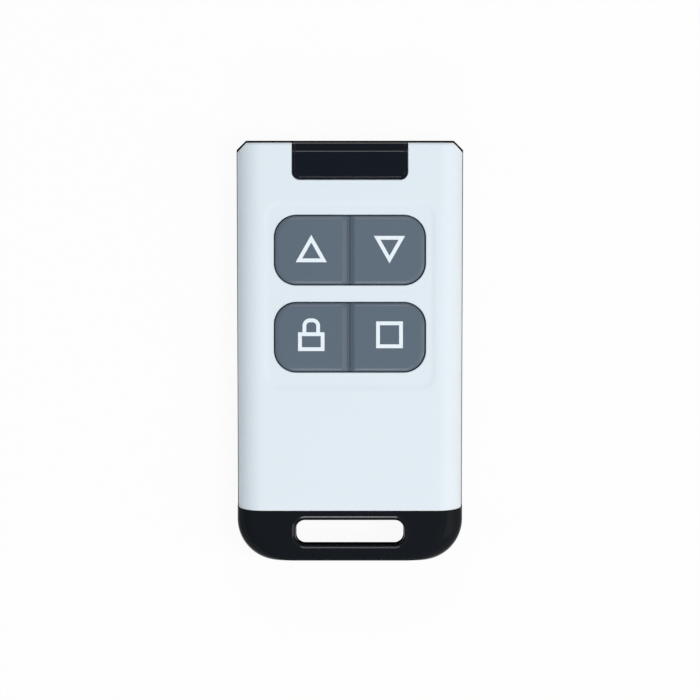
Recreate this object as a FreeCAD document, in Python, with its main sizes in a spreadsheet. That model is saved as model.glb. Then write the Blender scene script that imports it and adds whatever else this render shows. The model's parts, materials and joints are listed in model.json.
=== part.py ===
import FreeCAD, Part

import math
import os

import Sketcher

# Four-key garage door remote, lying on its back.
# Origin: centre of the outline on the flat rear face. +X right, +Y to the window end, +Z out of the keys.
# The black rear case carries everything: the white front cover is screwed to it from behind, the circuit
# board lies on its lip, and the coin cell sits in its ring behind a round door.

os.makedirs("parts", exist_ok=True)
doc = FreeCAD.newDocument("door_remote")
dim = doc.addObject("Spreadsheet::Sheet", "dim")

SIZES = {
    # outline of the whole body, seen from the front
    "body_length": 64.6,
    "window_end_width": 35.0,
    "tail_width": 34.54,
    "top_corner_cut": 1.45,
    "tail_corner_radius": 6.4,
    # section of the body
    "body_height": 10.7,
    "parting_height": 4.0,
    "side_roll": 3.6,
    "rear_edge_radius": 1.5,
    "tail_edge_radius": 0.3,
    # tilted joint between the white cover and the black tail
    "seam_from_tail": 7.56,
    "seam_lean": 10.0,
    "seam_gap": 0.04,
    # walls
    "shell_wall": 1.1,
    "end_wall": 1.5,
    "roof_thickness": 1.4,
    "inner_roll": 3.2,
    "rear_wall": 1.2,
    "cover_end_inset": 0.55,
    "cover_side_inset": 0.18,
    "cover_edge_radius": 0.5,
    "lip_height": 1.2,
    "lip_thickness": 0.7,
    "lip_gap": 0.1,
    # shallow dish round the keys
    "dish_width": 25.74,
    "dish_length": 28.34,
    "dish_centre": 8.32,
    "dish_depth": 0.18,
    "dish_wall_run": 0.7,
    "dish_corner_radius": 2.1,
    # key openings and keys
    "pad_width": 23.3,
    "pad_length": 10.83,
    "pad_corner_radius": 3.45,
    "pad_pitch": 13.35,
    "pads_centre": 8.605,
    "key_gap": 0.2,
    "key_split": 0.1,
    "key_proud": 0.3,
    "key_edge_radius": 0.45,
    "key_roof": 1.0,
    "key_skirt": 0.9,
    "key_flange_width": 0.6,
    "key_flange_thickness": 0.6,
    "flange_gap": 0.1,
    "key_post_radius": 1.5,
    "key_travel": 0.3,
    "valley_radius": 1.27,
    "valley_depth": 0.35,
    "valley_end": 0.2,
    "valley_fade": 0.4,
    # symbols on the keys
    "legend_left": 5.91,
    "legend_right": 6.07,
    "legend_stroke": 0.58,
    "legend_depth": 0.2,
    "triangle_width": 4.78,
    "triangle_height": 4.2,
    "up_raise": 0.23,
    "down_raise": 0.06,
    "square_side": 4.1,
    "square_raise": 0.37,
    "lock_width": 4.05,
    "lock_body_length": 2.87,
    "lock_total_length": 5.0,
    "lock_raise": 0.38,
    "shackle_width": 2.68,
    "shackle_radius": 1.15,
    # window over the indicator light
    "lens_width": 17.66,
    "lens_reach": 6.18,
    "lens_corner_radius": 1.15,
    "lens_recess": 1.0,
    "lens_sink": 0.02,
    "lens_gap": 0.1,
    "lens_bevel": 0.3,
    "lens_facet_run": 1.34,
    "lens_facet_drop": 1.0,
    "light_hole_width": 8.0,
    "light_hole_length": 2.4,
    # lanyard slot in the tail
    "slot_width": 16.8,
    "slot_length": 3.7,
    "slot_corner_radius": 1.4,
    "slot_from_tail": 4.35,
    "slot_rim_radius": 0.5,
    # screws and their posts
    "post_from_side": 4.37,
    "top_post_from_end": 5.15,
    "low_post_from_seam": 4.5,
    "post_radius": 2.1,
    "boss_radius": 2.8,
    "boss_height": 3.1,
    "post_gap": 0.05,
    "screw_radius": 1.0,
    "screw_length": 5.8,
    "screw_head_radius": 1.9,
    "screw_head_height": 1.2,
    "screw_sink": 0.5,
    "screw_hole_gap": 0.05,
    "head_hole_gap": 0.25,
    "cross_length": 2.2,
    "cross_width": 0.5,
    "cross_depth": 0.7,
    # circuit board and the rails that hold it down
    "board_thickness": 1.0,
    "board_gap": 0.27,
    "board_post_gap": 0.25,
    "rail_from_side": 2.6,
    "rail_width": 0.8,
    "rail_length": 29.5,
    "rail_height": 2.8,
    "rail_gap": 0.03,
    # coin cell
    "cell_radius": 10.0,
    "cell_height": 3.2,
    "cell_centre": 8.5,
    "cell_wall": 0.6,
    "cell_cap_radius": 8.8,
    "cell_cap_rise": 0.15,
    "cell_door_gap": 0.05,
    # round battery door with three bayonet lugs
    "door_radius": 11.9,
    "door_sink": 0.1,
    "door_floor": 0.9,
    "door_gap": 0.1,
    "seat_height": 1.0,
    "seat_gap": 0.05,
    "neck_radius": 11.15,
    "neck_height": 0.7,
    "neck_gap": 0.15,
    "door_rim_wall": 0.5,
    "lug_reach": 0.85,
    "lug_height": 0.7,
    "lug_gap": 0.07,
    "lug_angle": 30.0,
    "lug_side_gap": 2.0,
    "lug_count": 3,
    "door_turn": 45.0,
    "ring_wall": 0.9,
    "guide_gap": 0.3,
    "ring_board_gap": 0.3,
    "seal_radius": 0.25,
    "seal_groove_gap": 0.03,
    "coin_slot_length": 13.0,
    "coin_slot_width": 1.8,
    "coin_slot_corner_radius": 0.88,
    "coin_slot_depth": 0.5,
    # battery contacts
    "contact_thickness": 0.2,
    "spring_leaf_width": 3.0,
    "spring_leaf_base": 5.0,
    "spring_leaf_arm": 3.0,
    "spring_leaf_foot": 0.8,
    "clip_width": 4.6,
    "clip_gap": 0.05,
    "clip_foot": 2.8,
    "clip_drop": 2.2,
    "clip_notch_gap": 0.3,
    # tact switches
    "switch_side": 5.2,
    "switch_base_height": 1.2,
    "switch_well_radius": 1.75,
    "switch_plate": 0.2,
    "plunger_radius": 1.2,
    "plunger_hole_gap": 0.08,
    "plunger_foot_radius": 1.6,
    "plunger_foot_height": 0.35,
    "plunger_top_gap": 0.05,
    "plunger_rise": 0.8,
    "key_plunger_gap": 0.05,
    "dome_radius": 1.5,
    "dome_thickness": 0.1,
    "dome_gap": 0.02,
    "terminal_length": 0.7,
    "terminal_width": 0.6,
    "terminal_thickness": 0.15,
    "terminal_pitch": 3.7,
    # radio parts
    "chip_length": 4.9,
    "chip_width": 3.9,
    "chip_height": 1.4,
    "chip_lead_pitch": 1.27,
    "chip_lead_width": 0.42,
    "chip_lead_reach": 1.05,
    "chip_stand_off": 0.1,
    "resonator_side": 5.0,
    "resonator_height": 1.5,
    "resonator_edge": 0.6,
    "transistor_length": 2.9,
    "transistor_width": 1.3,
    "transistor_height": 1.0,
    "coil_radius": 1.7,
    "coil_height": 1.9,
    "coil_waist_radius": 1.2,
    "coil_flange": 0.45,
    "chip_part_length": 2.0,
    "chip_part_width": 1.25,
    "resistor_height": 0.5,
    "capacitor_height": 0.85,
    "aerial_radius": 0.4,
    "aerial_width": 19.2,
    "aerial_length": 5.8,
    "aerial_corner_radius": 1.6,
    "aerial_from_seam": 2.8,
    # places of the parts on the board
    "chip_x": -7.0,
    "chip_from_seam": 13.8,
    "resonator_x": 6.5,
    "resonator_from_seam": 14.3,
    "transistor_x": 0.5,
    "transistor_from_seam": 10.8,
    "coil_x": -5.0,
    "coil_from_seam": 7.1,
    "resistor_row_x": 2.0,
    "resistor_row_from_seam": 16.8,
    "capacitor_column_x": 11.2,
    "capacitor_column_from_seam": 14.8,
    "capacitor_column_pitch": 5.0,
    "light_parts_x": 4.0,
    "light_parts_from_light": 4.6,
    # indicator light
    "light_from_end": 4.35,
    "light_flange_radius": 1.9,
    "light_flange_height": 0.8,
    "light_bulb_radius": 1.5,
    "light_bulb_height": 0.5,
}
for row, (alias, size) in enumerate(SIZES.items(), start=1):
    dim.set(f"A{row}", str(size))
    dim.setAlias(f"A{row}", alias)
doc.recompute()

# Places worked out from the sizes, as expressions over the sheet
END_Y = "(dim.body_length / 2)"
TAIL_Y = "(-dim.body_length / 2)"
COVER_END_Y = f"({END_Y} - dim.cover_end_inset)"
SEAM_RUN = "((dim.body_height - dim.parting_height) * tan(dim.seam_lean))"
SEAM_TOP_Y = f"({TAIL_Y} + dim.seam_from_tail)"
SEAM_LOW_Y = f"({SEAM_TOP_Y} + {SEAM_RUN})"
HALF_END = "(dim.window_end_width / 2)"
HALF_TAIL = "(dim.tail_width / 2)"
COVER_HALF_END = f"({HALF_END} - dim.cover_side_inset)"
COVER_HALF_TAIL = f"({HALF_TAIL} - dim.cover_side_inset)"
ROOF_Z = "(dim.body_height - dim.roof_thickness)"
BOARD_Z = "(dim.parting_height + dim.lip_height)"
BOARD_TOP_Z = f"({BOARD_Z} + dim.board_thickness)"
TOP_POST_X = f"({HALF_END} - dim.post_from_side)"
LOW_POST_X = f"({HALF_TAIL} - dim.post_from_side)"
TOP_POST_Y = f"({END_Y} - dim.top_post_from_end)"
LOW_POST_Y = f"({SEAM_LOW_Y} + dim.low_post_from_seam)"
POST_Z = "(dim.boss_height + dim.post_gap)"
LIGHT_Y = f"({END_Y} - dim.light_from_end)"
CHIP_Y = f"({SEAM_LOW_Y} + dim.chip_from_seam)"
RESONATOR_Y = f"({SEAM_LOW_Y} + dim.resonator_from_seam)"
TRANSISTOR_Y = f"({SEAM_LOW_Y} + dim.transistor_from_seam)"
COIL_Y = f"({SEAM_LOW_Y} + dim.coil_from_seam)"
RESISTOR_ROW_Y = f"({SEAM_LOW_Y} + dim.resistor_row_from_seam)"
CAPACITOR_COLUMN_Y = f"({SEAM_LOW_Y} + dim.capacitor_column_from_seam)"
LIGHT_PARTS_Y = f"({LIGHT_Y} - dim.light_parts_from_light)"
LENS_LOW_Y = f"({END_Y} - dim.lens_reach)"
LENS_BACK_Y = f"({COVER_END_Y} - dim.lens_recess)"
LENS_TOP_Z = "(dim.body_height - dim.lens_sink)"
SLOT_Y = f"({TAIL_Y} + dim.slot_from_tail)"
CELL_Y = "(-dim.cell_centre)"
UPPER_ROW_Y = "(dim.pads_centre + dim.pad_pitch / 2)"
LOWER_ROW_Y = "(dim.pads_centre - dim.pad_pitch / 2)"
KEY_TOP_Z = "(dim.body_height + dim.key_proud)"
FLANGE_TOP_Z = f"({ROOF_Z} - dim.flange_gap)"
FLANGE_Z = f"({FLANGE_TOP_Z} - dim.key_flange_thickness)"
KEY_X = "((dim.pad_width / 2 - dim.key_gap + dim.key_split / 2) / 2)"
WELL_DEPTH = "(dim.plunger_top_gap + dim.plunger_foot_height + dim.key_travel + dim.dome_thickness)"
WELL_Z = f"({BOARD_TOP_Z} + dim.switch_base_height - {WELL_DEPTH})"
PLATE_Z = f"({BOARD_TOP_Z} + dim.switch_base_height)"
FOOT_TOP_Z = f"({PLATE_Z} - dim.plunger_top_gap)"
FOOT_Z = f"({FOOT_TOP_Z} - dim.plunger_foot_height)"
PLUNGER_TOP_Z = f"({PLATE_Z} + dim.switch_plate + dim.plunger_rise)"
DOOR_TOP_Z = "(dim.seat_height - dim.seat_gap)"
DOOR_FLOOR_Z = "(dim.door_sink + dim.door_floor)"
NECK_TOP_Z = "(dim.seat_height + dim.neck_height)"
LUG_Z = f"({NECK_TOP_Z} + dim.lug_gap)"
LUG_TOP_Z = f"({LUG_Z} + dim.lug_height)"
GROOVE_TOP_Z = f"({LUG_TOP_Z} + dim.lug_gap)"
DOOR_RIM_RADIUS = "(dim.neck_radius - dim.neck_gap)"
LUG_RADIUS = f"({DOOR_RIM_RADIUS} + dim.lug_reach)"
GROOVE_RADIUS = f"({LUG_RADIUS} + dim.lug_gap + dim.neck_gap)"
GUIDE_RADIUS = "(dim.cell_radius + dim.guide_gap)"
RING_RADIUS = f"({GROOVE_RADIUS} + dim.ring_wall)"
RING_TOP_Z = f"({BOARD_Z} - dim.ring_board_gap)"
CELL_Z = f"({DOOR_FLOOR_Z} + dim.cell_door_gap)"
CELL_TOP_Z = f"({CELL_Z} + dim.cell_height)"
CLEAR = "1"

NODES = {}


def val(expression):
    """Number that an expression over the sheet has now."""
    return float(dim.evalExpression(str(expression)))


def new_body(name):
    body = doc.addObject("PartDesign::Body", name)
    NODES[name] = body
    return body


def sketch_on(body, name, role, offset="0", shift="0", turn="0"):
    """Sketch on an origin plane: offset along the plane's world axis, shift along the sketch's own x,
    turn in degrees about the sketch's own upright."""
    sketch = body.newObject("Sketcher::SketchObject", name)
    plane = [item for item in body.Origin.OriginFeatures if item.Role == role][0]
    sketch.AttachmentSupport = [(plane, "")]
    sketch.MapMode = "FlatFace"
    upright = FreeCAD.Vector(0, 1, 0)
    sketch.AttachmentOffset = FreeCAD.Placement(FreeCAD.Vector(), FreeCAD.Rotation(upright, val(turn)))
    facing = "-1" if role == "XZ_Plane" else "1"
    sketch.setExpression("AttachmentOffset.Base.z", f"{facing} * {offset}")
    sketch.setExpression("AttachmentOffset.Base.x", shift)
    return sketch


def constrain(sketch, kind, *where, size=None):
    """One constraint, with its size bound to the sheet where it has one."""
    if size is None:
        sketch.addConstraint(Sketcher.Constraint(kind, *where))
        return
    index = sketch.addConstraint(Sketcher.Constraint(kind, *where, val(size)))
    sketch.setExpression(f"Constraints[{index}]", size)


def locate(sketch, geometry, point, x, y):
    """Ties one point of the sketch to its own origin."""
    constrain(sketch, "DistanceX", -1, 1, geometry, point, size=x)
    constrain(sketch, "DistanceY", -1, 1, geometry, point, size=y)


def corner_arc(before, corner, after, radius):
    """Arc that rounds a corner: the tangent points, the arc, and the arc's own ends in walking order."""
    into = (corner - before).normalize()
    out = (after - corner).normalize()
    turn = into.getAngle(out)
    reach = radius * math.tan(turn / 2)
    start = corner - into * reach
    end = corner + out * reach
    left = into.x * out.y - into.y * out.x > 0
    side = FreeCAD.Vector(-into.y, into.x, 0) if left else FreeCAD.Vector(into.y, -into.x, 0)
    centre = start + side * radius
    first, last = (start, end) if left else (end, start)
    angle_1 = math.atan2(first.y - centre.y, first.x - centre.x)
    angle_2 = math.atan2(last.y - centre.y, last.x - centre.x)
    circle = Part.Circle(centre, FreeCAD.Vector(0, 0, 1), radius)
    arc = Part.ArcOfCircle(circle, angle_1, angle_2)
    return start, end, arc, (1, 2) if left else (2, 1)


def add_outline(sketch, corners):
    """Closed outline through sharp corners (x, y), or (x, y, radius) where a tangent arc rounds it.
    A rounded corner keeps its sharp point as construction geometry, bound to the sheet."""
    count = len(corners)
    points = [FreeCAD.Vector(val(corner[0]), val(corner[1]), 0) for corner in corners]
    entry, leave, arcs, ends = list(points), list(points), {}, {}
    for i, corner in enumerate(corners):
        if len(corner) == 3:
            before, after = points[i - 1], points[(i + 1) % count]
            entry[i], leave[i], arcs[i], ends[i] = corner_arc(before, points[i], after, val(corner[2]))
    lines = []
    for i in range(count):
        lines.append(sketch.addGeometry(Part.LineSegment(leave[i], entry[(i + 1) % count]), False))
    for i, corner in enumerate(corners):
        line_in, line_out = lines[i - 1], lines[i]
        if i not in arcs:
            constrain(sketch, "Coincident", line_in, 2, line_out, 1)
            locate(sketch, line_out, 1, corner[0], corner[1])
            continue
        arc = sketch.addGeometry(arcs[i], False)
        sharp = sketch.addGeometry(Part.Point(points[i]), True)
        locate(sketch, sharp, 1, corner[0], corner[1])
        constrain(sketch, "PointOnObject", sharp, 1, line_in)
        constrain(sketch, "PointOnObject", sharp, 1, line_out)
        constrain(sketch, "Tangent", line_in, 2, arc, ends[i][0])
        constrain(sketch, "Tangent", arc, ends[i][1], line_out, 1)
        constrain(sketch, "Radius", arc, size=corner[2])


def add_circle(sketch, x, y, radius):
    centre = FreeCAD.Vector(val(x), val(y), 0)
    circle = sketch.addGeometry(Part.Circle(centre, FreeCAD.Vector(0, 0, 1), val(radius)), False)
    locate(sketch, circle, 3, x, y)
    constrain(sketch, "Radius", circle, size=radius)


def add_rectangle(sketch, x, y, width, length, radius=None):
    """Rectangle about a centre, with all four corners rounded where a radius is given."""
    corners = []
    for sx, sy in ((-1, -1), (1, -1), (1, 1), (-1, 1)):
        corner = (f"({x}) + {sx} * ({width}) / 2", f"({y}) + {sy} * ({length}) / 2")
        corners.append(corner if radius is None else corner + (radius,))
    add_outline(sketch, corners)


def pad(body, name, sketch, length, symmetric=False):
    feature = body.newObject("PartDesign::Pad", name)
    feature.Profile = sketch
    feature.SideType = "Symmetric" if symmetric else "One side"
    feature.setExpression("Length", length)
    return feature


def pocket(body, name, sketch, length=None, symmetric=False, upward=False):
    """Cut along the sketch's normal: through everything where no length is given."""
    feature = body.newObject("PartDesign::Pocket", name)
    feature.Profile = sketch
    feature.SideType = "Symmetric" if symmetric else "One side"
    feature.Reversed = upward
    if length is None:
        feature.Type = "ThroughAll"
    else:
        feature.setExpression("Length", length)
    return feature


def turned(body, name, kind, sketch, angle="360"):
    """Revolution or Groove about the sketch's own upright, centred on the sketch where it is partial."""
    feature = body.newObject(f"PartDesign::{kind}", name)
    feature.Profile = sketch
    feature.ReferenceAxis = (sketch, ["V_Axis"])
    feature.Midplane = True
    feature.setExpression("Angle", angle)
    return feature


def polar(body, name, feature, sketch, count):
    pattern = body.newObject("PartDesign::PolarPattern", name)
    pattern.Originals = [feature]
    pattern.Axis = (sketch, ["V_Axis"])
    pattern.Angle = 360
    pattern.setExpression("Occurrences", count)
    body.Tip = pattern
    return pattern


def loft(body, name, kind, first, last):
    feature = body.newObject(f"PartDesign::{kind}", name)
    feature.Profile = first
    feature.Sections = [last]
    feature.Ruled = True
    return feature


def dress(body, name, kind, base, test, size):
    """Fillet or Chamfer on the edges of the base for which the test holds."""
    doc.recompute()
    names = [f"Edge{i}" for i, edge in enumerate(base.Shape.Edges, start=1) if test(edge)]
    feature = body.newObject(f"PartDesign::{kind}", name)
    feature.Base = (base, names)
    feature.setExpression("Radius" if kind == "Fillet" else "Size", size)
    return feature


def flat_at(edge, level):
    """True where the whole edge lies at one height."""
    box = edge.BoundBox
    height = val(level)
    return abs(box.ZMin - height) < 1e-4 and abs(box.ZMax - height) < 1e-4


def bind_place(item, x, y, z):
    item.setExpression("Placement.Base.x", x)
    item.setExpression("Placement.Base.y", y)
    item.setExpression("Placement.Base.z", z)
    return item


def block(name, x, y, z, length, width, height):
    """Box about a centre in plan, standing on z."""
    item = doc.addObject("Part::Box", name)
    item.setExpression("Length", length)
    item.setExpression("Width", width)
    item.setExpression("Height", height)
    return bind_place(item, f"({x}) - ({length}) / 2", f"({y}) - ({width}) / 2", z)


def disc(name, x, y, z, radius, height):
    item = doc.addObject("Part::Cylinder", name)
    item.setExpression("Radius", radius)
    item.setExpression("Height", height)
    return bind_place(item, x, y, z)


def joined(name, pieces):
    item = doc.addObject("Part::MultiFuse", name)
    item.Shapes = pieces
    return item


def less(name, base, tool):
    item = doc.addObject("Part::Cut", name)
    item.Base = base
    item.Tool = tool
    return item


def group(name, pieces):
    """Several alike solids that stay separate in one node."""
    item = doc.addObject("Part::Compound", name)
    item.Links = pieces
    return item


def node(item):
    NODES[item.Name] = item
    return item


def body_corners(end_y, inset="0", low_y=None, tail_radius=None):
    """Outline of the body seen from the front, drawn in by an inset: chamfered at the window end,
    and square or rounded at the tail end."""
    low = low_y or TAIL_Y
    half_low = f"{HALF_TAIL} - {inset}"
    half_end = f"{HALF_END} - {inset}"
    cut = "dim.top_corner_cut"
    tail = [(f"-({half_low})", low), (half_low, low)]
    if tail_radius:
        tail = [corner + (tail_radius,) for corner in tail]
    side = [] if low_y else [(half_low, SEAM_LOW_Y)]
    far_side = [] if low_y else [(f"-({half_low})", SEAM_LOW_Y)]
    window_end = [
        (half_end, f"{end_y} - {cut}"),
        (f"{half_end} - {cut}", end_y),
        (f"-({half_end} - {cut})", end_y),
        (f"-({half_end})", f"{end_y} - {cut}"),
    ]
    return tail + side + window_end + far_side


def post_places():
    places = ((TOP_POST_X, TOP_POST_Y), (LOW_POST_X, LOW_POST_Y))
    return [(f"{sx} * {x}", y) for sx in (-1, 1) for x, y in places]


def lip_corners(inset):
    """Outline of the case lip inside the cover, drawn in further by an inset."""
    low = f"{SEAM_LOW_Y} + dim.shell_wall + dim.lip_gap + {inset}"
    end = f"{COVER_END_Y} - dim.end_wall - dim.lip_gap - {inset}"
    return body_corners(end, f"(dim.cover_side_inset + dim.shell_wall + dim.lip_gap + {inset})", low)


def make_rear_case():
    """Black case: a tray with a lip, the full-height tail with its lanyard slot, and the battery ring.
    It is one moulding, kept as two nodes that meet on a plane, so that the slot stays open in collision."""
    body = doc.addObject("PartDesign::Body", "case_moulding")

    plan = sketch_on(body, "case_plan", "XY_Plane")
    add_outline(plan, body_corners(END_Y, tail_radius="dim.tail_corner_radius"))
    tray = pad(body, "case_tray", plan, "dim.parting_height")
    dress(body, "case_rear_edge", "Fillet", tray, lambda edge: flat_at(edge, "0"), "dim.rear_edge_radius")

    # The tail stands up from the parting plane to the full height
    tail_plan = sketch_on(body, "tail_plan", "XY_Plane", "dim.parting_height")
    radius = "dim.tail_corner_radius"
    add_outline(tail_plan, [
        (f"-{HALF_TAIL}", TAIL_Y, radius),
        (HALF_TAIL, TAIL_Y, radius),
        (HALF_TAIL, SEAM_LOW_Y),
        (f"-{HALF_TAIL}", SEAM_LOW_Y),
    ])
    pad(body, "tail_block", tail_plan, "dim.body_height - dim.parting_height")
    lean = sketch_on(body, "tail_lean", "YZ_Plane")
    slope = "tan(dim.seam_lean)"
    above = f"dim.body_height + {CLEAR}"
    add_outline(lean, [
        (SEAM_LOW_Y, "dim.parting_height"),
        (f"{SEAM_LOW_Y} + {CLEAR}", "dim.parting_height"),
        (f"{SEAM_LOW_Y} + {CLEAR}", above),
        (f"{SEAM_TOP_Y} - {CLEAR} * {slope}", above),
    ])
    leaning = pocket(body, "tail_lean_cut", lean, symmetric=True)

    def tail_top_edge(edge):
        return flat_at(edge, "dim.body_height") and edge.BoundBox.YMin < val(SEAM_TOP_Y) - 0.01

    dress(body, "tail_top_edge", "Fillet", leaning, tail_top_edge, "dim.tail_edge_radius")
    roll = sketch_on(body, "tail_roll", "XZ_Plane")
    for side in ("-1", "1"):
        inner = f"{side} * ({HALF_TAIL} - dim.side_roll - {CLEAR} / 2)"
        outer = f"{side} * ({HALF_TAIL} + {CLEAR})"
        shoulder = f"dim.body_height - dim.side_roll - {CLEAR} / 2"
        add_outline(roll, [
            (f"{side} * {HALF_TAIL}", shoulder),
            (f"{side} * {HALF_TAIL}", "dim.body_height", "dim.side_roll"),
            (inner, "dim.body_height"),
            (inner, above),
            (outer, above),
            (outer, shoulder),
        ])
    pocket(body, "tail_roll_cut", roll, symmetric=True)

    slot = sketch_on(body, "lanyard_slot", "XY_Plane")
    add_rectangle(slot, "0", SLOT_Y, "dim.slot_width", "dim.slot_length", "dim.slot_corner_radius")
    slotted = pocket(body, "lanyard_slot_cut", slot, upward=True)

    def slot_rim(edge):
        box = edge.BoundBox
        flat = flat_at(edge, "0") or flat_at(edge, "dim.body_height")
        across = box.XMin > val("-dim.slot_width / 2") - 0.01 and box.XMax < val("dim.slot_width / 2") + 0.01
        low = val(f"{SLOT_Y} - dim.slot_length / 2") - 0.01
        high = val(f"{SLOT_Y} + dim.slot_length / 2") + 0.01
        return flat and across and box.YMin > low and box.YMax < high

    dress(body, "lanyard_slot_rim", "Fillet", slotted, slot_rim, "dim.slot_rim_radius")

    cavity = sketch_on(body, "case_cavity", "XY_Plane", "dim.parting_height")
    add_outline(cavity, lip_corners("dim.lip_thickness"))
    pocket(body, "case_cavity_cut", cavity, "dim.parting_height - dim.rear_wall")
    lip = sketch_on(body, "case_lip", "XY_Plane", "dim.parting_height")
    add_outline(lip, lip_corners("0"))
    add_outline(lip, lip_corners("dim.lip_thickness"))
    pad(body, "case_lip_wall", lip, "dim.lip_height")

    # Screw bosses, open to the rear for the screw heads
    bosses = sketch_on(body, "screw_bosses", "XY_Plane", "dim.rear_wall / 2")
    for x, y in post_places():
        add_circle(bosses, x, y, "dim.boss_radius")
    pad(body, "screw_boss_posts", bosses, "dim.boss_height - dim.rear_wall / 2")
    heads = sketch_on(body, "screw_heads", "XY_Plane")
    for x, y in post_places():
        add_circle(heads, x, y, "dim.screw_head_radius + dim.head_hole_gap")
    pocket(body, "screw_head_holes", heads, "dim.screw_sink + dim.screw_head_height", upward=True)
    shanks = sketch_on(body, "screw_shanks", "XY_Plane")
    for x, y in post_places():
        add_circle(shanks, x, y, "dim.screw_radius + dim.screw_hole_gap")
    pocket(body, "screw_shank_holes", shanks, "dim.boss_height + dim.post_gap", upward=True)

    # Battery opening: seat for the door, ring with a neck, paths and entries for the lugs
    seat = sketch_on(body, "door_seat", "XY_Plane")
    add_circle(seat, "0", CELL_Y, "dim.door_radius + dim.door_gap")
    pocket(body, "door_seat_cut", seat, "dim.parting_height", upward=True)
    ring = sketch_on(body, "battery_ring", "YZ_Plane", shift=CELL_Y)
    add_outline(ring, [
        ("dim.neck_radius", "dim.seat_height"),
        (RING_RADIUS, "dim.seat_height"),
        (RING_RADIUS, RING_TOP_Z),
        (GUIDE_RADIUS, RING_TOP_Z),
        (GUIDE_RADIUS, GROOVE_TOP_Z),
        ("dim.neck_radius", GROOVE_TOP_Z),
    ])
    turned(body, "battery_ring_wall", "Revolution", ring)
    path_angle = "dim.door_turn + dim.lug_angle + dim.lug_side_gap"
    path = sketch_on(body, "lug_path", "YZ_Plane", shift=CELL_Y, turn="dim.door_turn / 2")
    add_outline(path, [
        (GUIDE_RADIUS, NECK_TOP_Z),
        (GROOVE_RADIUS, NECK_TOP_Z),
        (GROOVE_RADIUS, GROOVE_TOP_Z),
        (GUIDE_RADIUS, GROOVE_TOP_Z),
    ])
    cut_path = turned(body, "lug_path_cut", "Groove", path, path_angle)
    polar(body, "lug_paths", cut_path, path, "dim.lug_count")
    entry = sketch_on(body, "lug_entry", "YZ_Plane", shift=CELL_Y, turn="dim.door_turn")
    add_outline(entry, [
        (GUIDE_RADIUS, "dim.seat_height / 2"),
        (GROOVE_RADIUS, "dim.seat_height / 2"),
        (GROOVE_RADIUS, f"{NECK_TOP_Z} + dim.lug_gap"),
        (GUIDE_RADIUS, f"{NECK_TOP_Z} + dim.lug_gap"),
    ])
    cut_entry = turned(body, "lug_entry_cut", "Groove", entry, "dim.lug_angle + dim.lug_side_gap")
    polar(body, "lug_entries", cut_entry, entry, "dim.lug_count")
    notch = sketch_on(body, "clip_notch", "XY_Plane", RING_TOP_Z)
    reach = "(dim.clip_gap + dim.contact_thickness + dim.clip_notch_gap + dim.cell_radius)"
    add_outline(notch, [
        ("-(dim.clip_width / 2 + dim.clip_notch_gap)", f"{CELL_Y} + dim.cell_cap_radius"),
        ("dim.clip_width / 2 + dim.clip_notch_gap", f"{CELL_Y} + dim.cell_cap_radius"),
        ("dim.clip_width / 2 + dim.clip_notch_gap", f"{CELL_Y} + {reach}"),
        ("-(dim.clip_width / 2 + dim.clip_notch_gap)", f"{CELL_Y} + {reach}"),
    ])
    depth = f"{RING_TOP_Z} - ({BOARD_Z} - dim.clip_drop - dim.clip_notch_gap)"
    pocket(body, "clip_notch_cut", notch, depth)

    tail_room = block(
        "tail_room", "0", f"({SEAM_LOW_Y} + {TAIL_Y} - {CLEAR}) / 2", f"-{CLEAR}",
        f"2 * ({HALF_END} + {CLEAR})", f"{SEAM_LOW_Y} - {TAIL_Y} + {CLEAR}", f"dim.body_height + 2 * {CLEAR}")
    node(less("rear_case", body, tail_room))
    tail = doc.addObject("Part::Common", "case_tail")
    tail.Base = body
    tail.Tool = tail_room
    node(tail)


def cover_section(body, name, y, half_width, roll, top_z, low_z):
    """Section across the cover: flat top, rolled shoulders, upright sides."""
    section = sketch_on(body, name, "XZ_Plane", y)
    add_outline(section, [
        (f"-({half_width})", low_z),
        (half_width, low_z),
        (half_width, top_z, roll),
        (f"-({half_width})", top_z, roll),
    ])
    return section


def add_pads(sketch, inset="0"):
    for row in (UPPER_ROW_Y, LOWER_ROW_Y):
        add_rectangle(
            sketch, "0", row, f"dim.pad_width - 2 * ({inset})", f"dim.pad_length - 2 * ({inset})",
            f"dim.pad_corner_radius - ({inset})")


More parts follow.
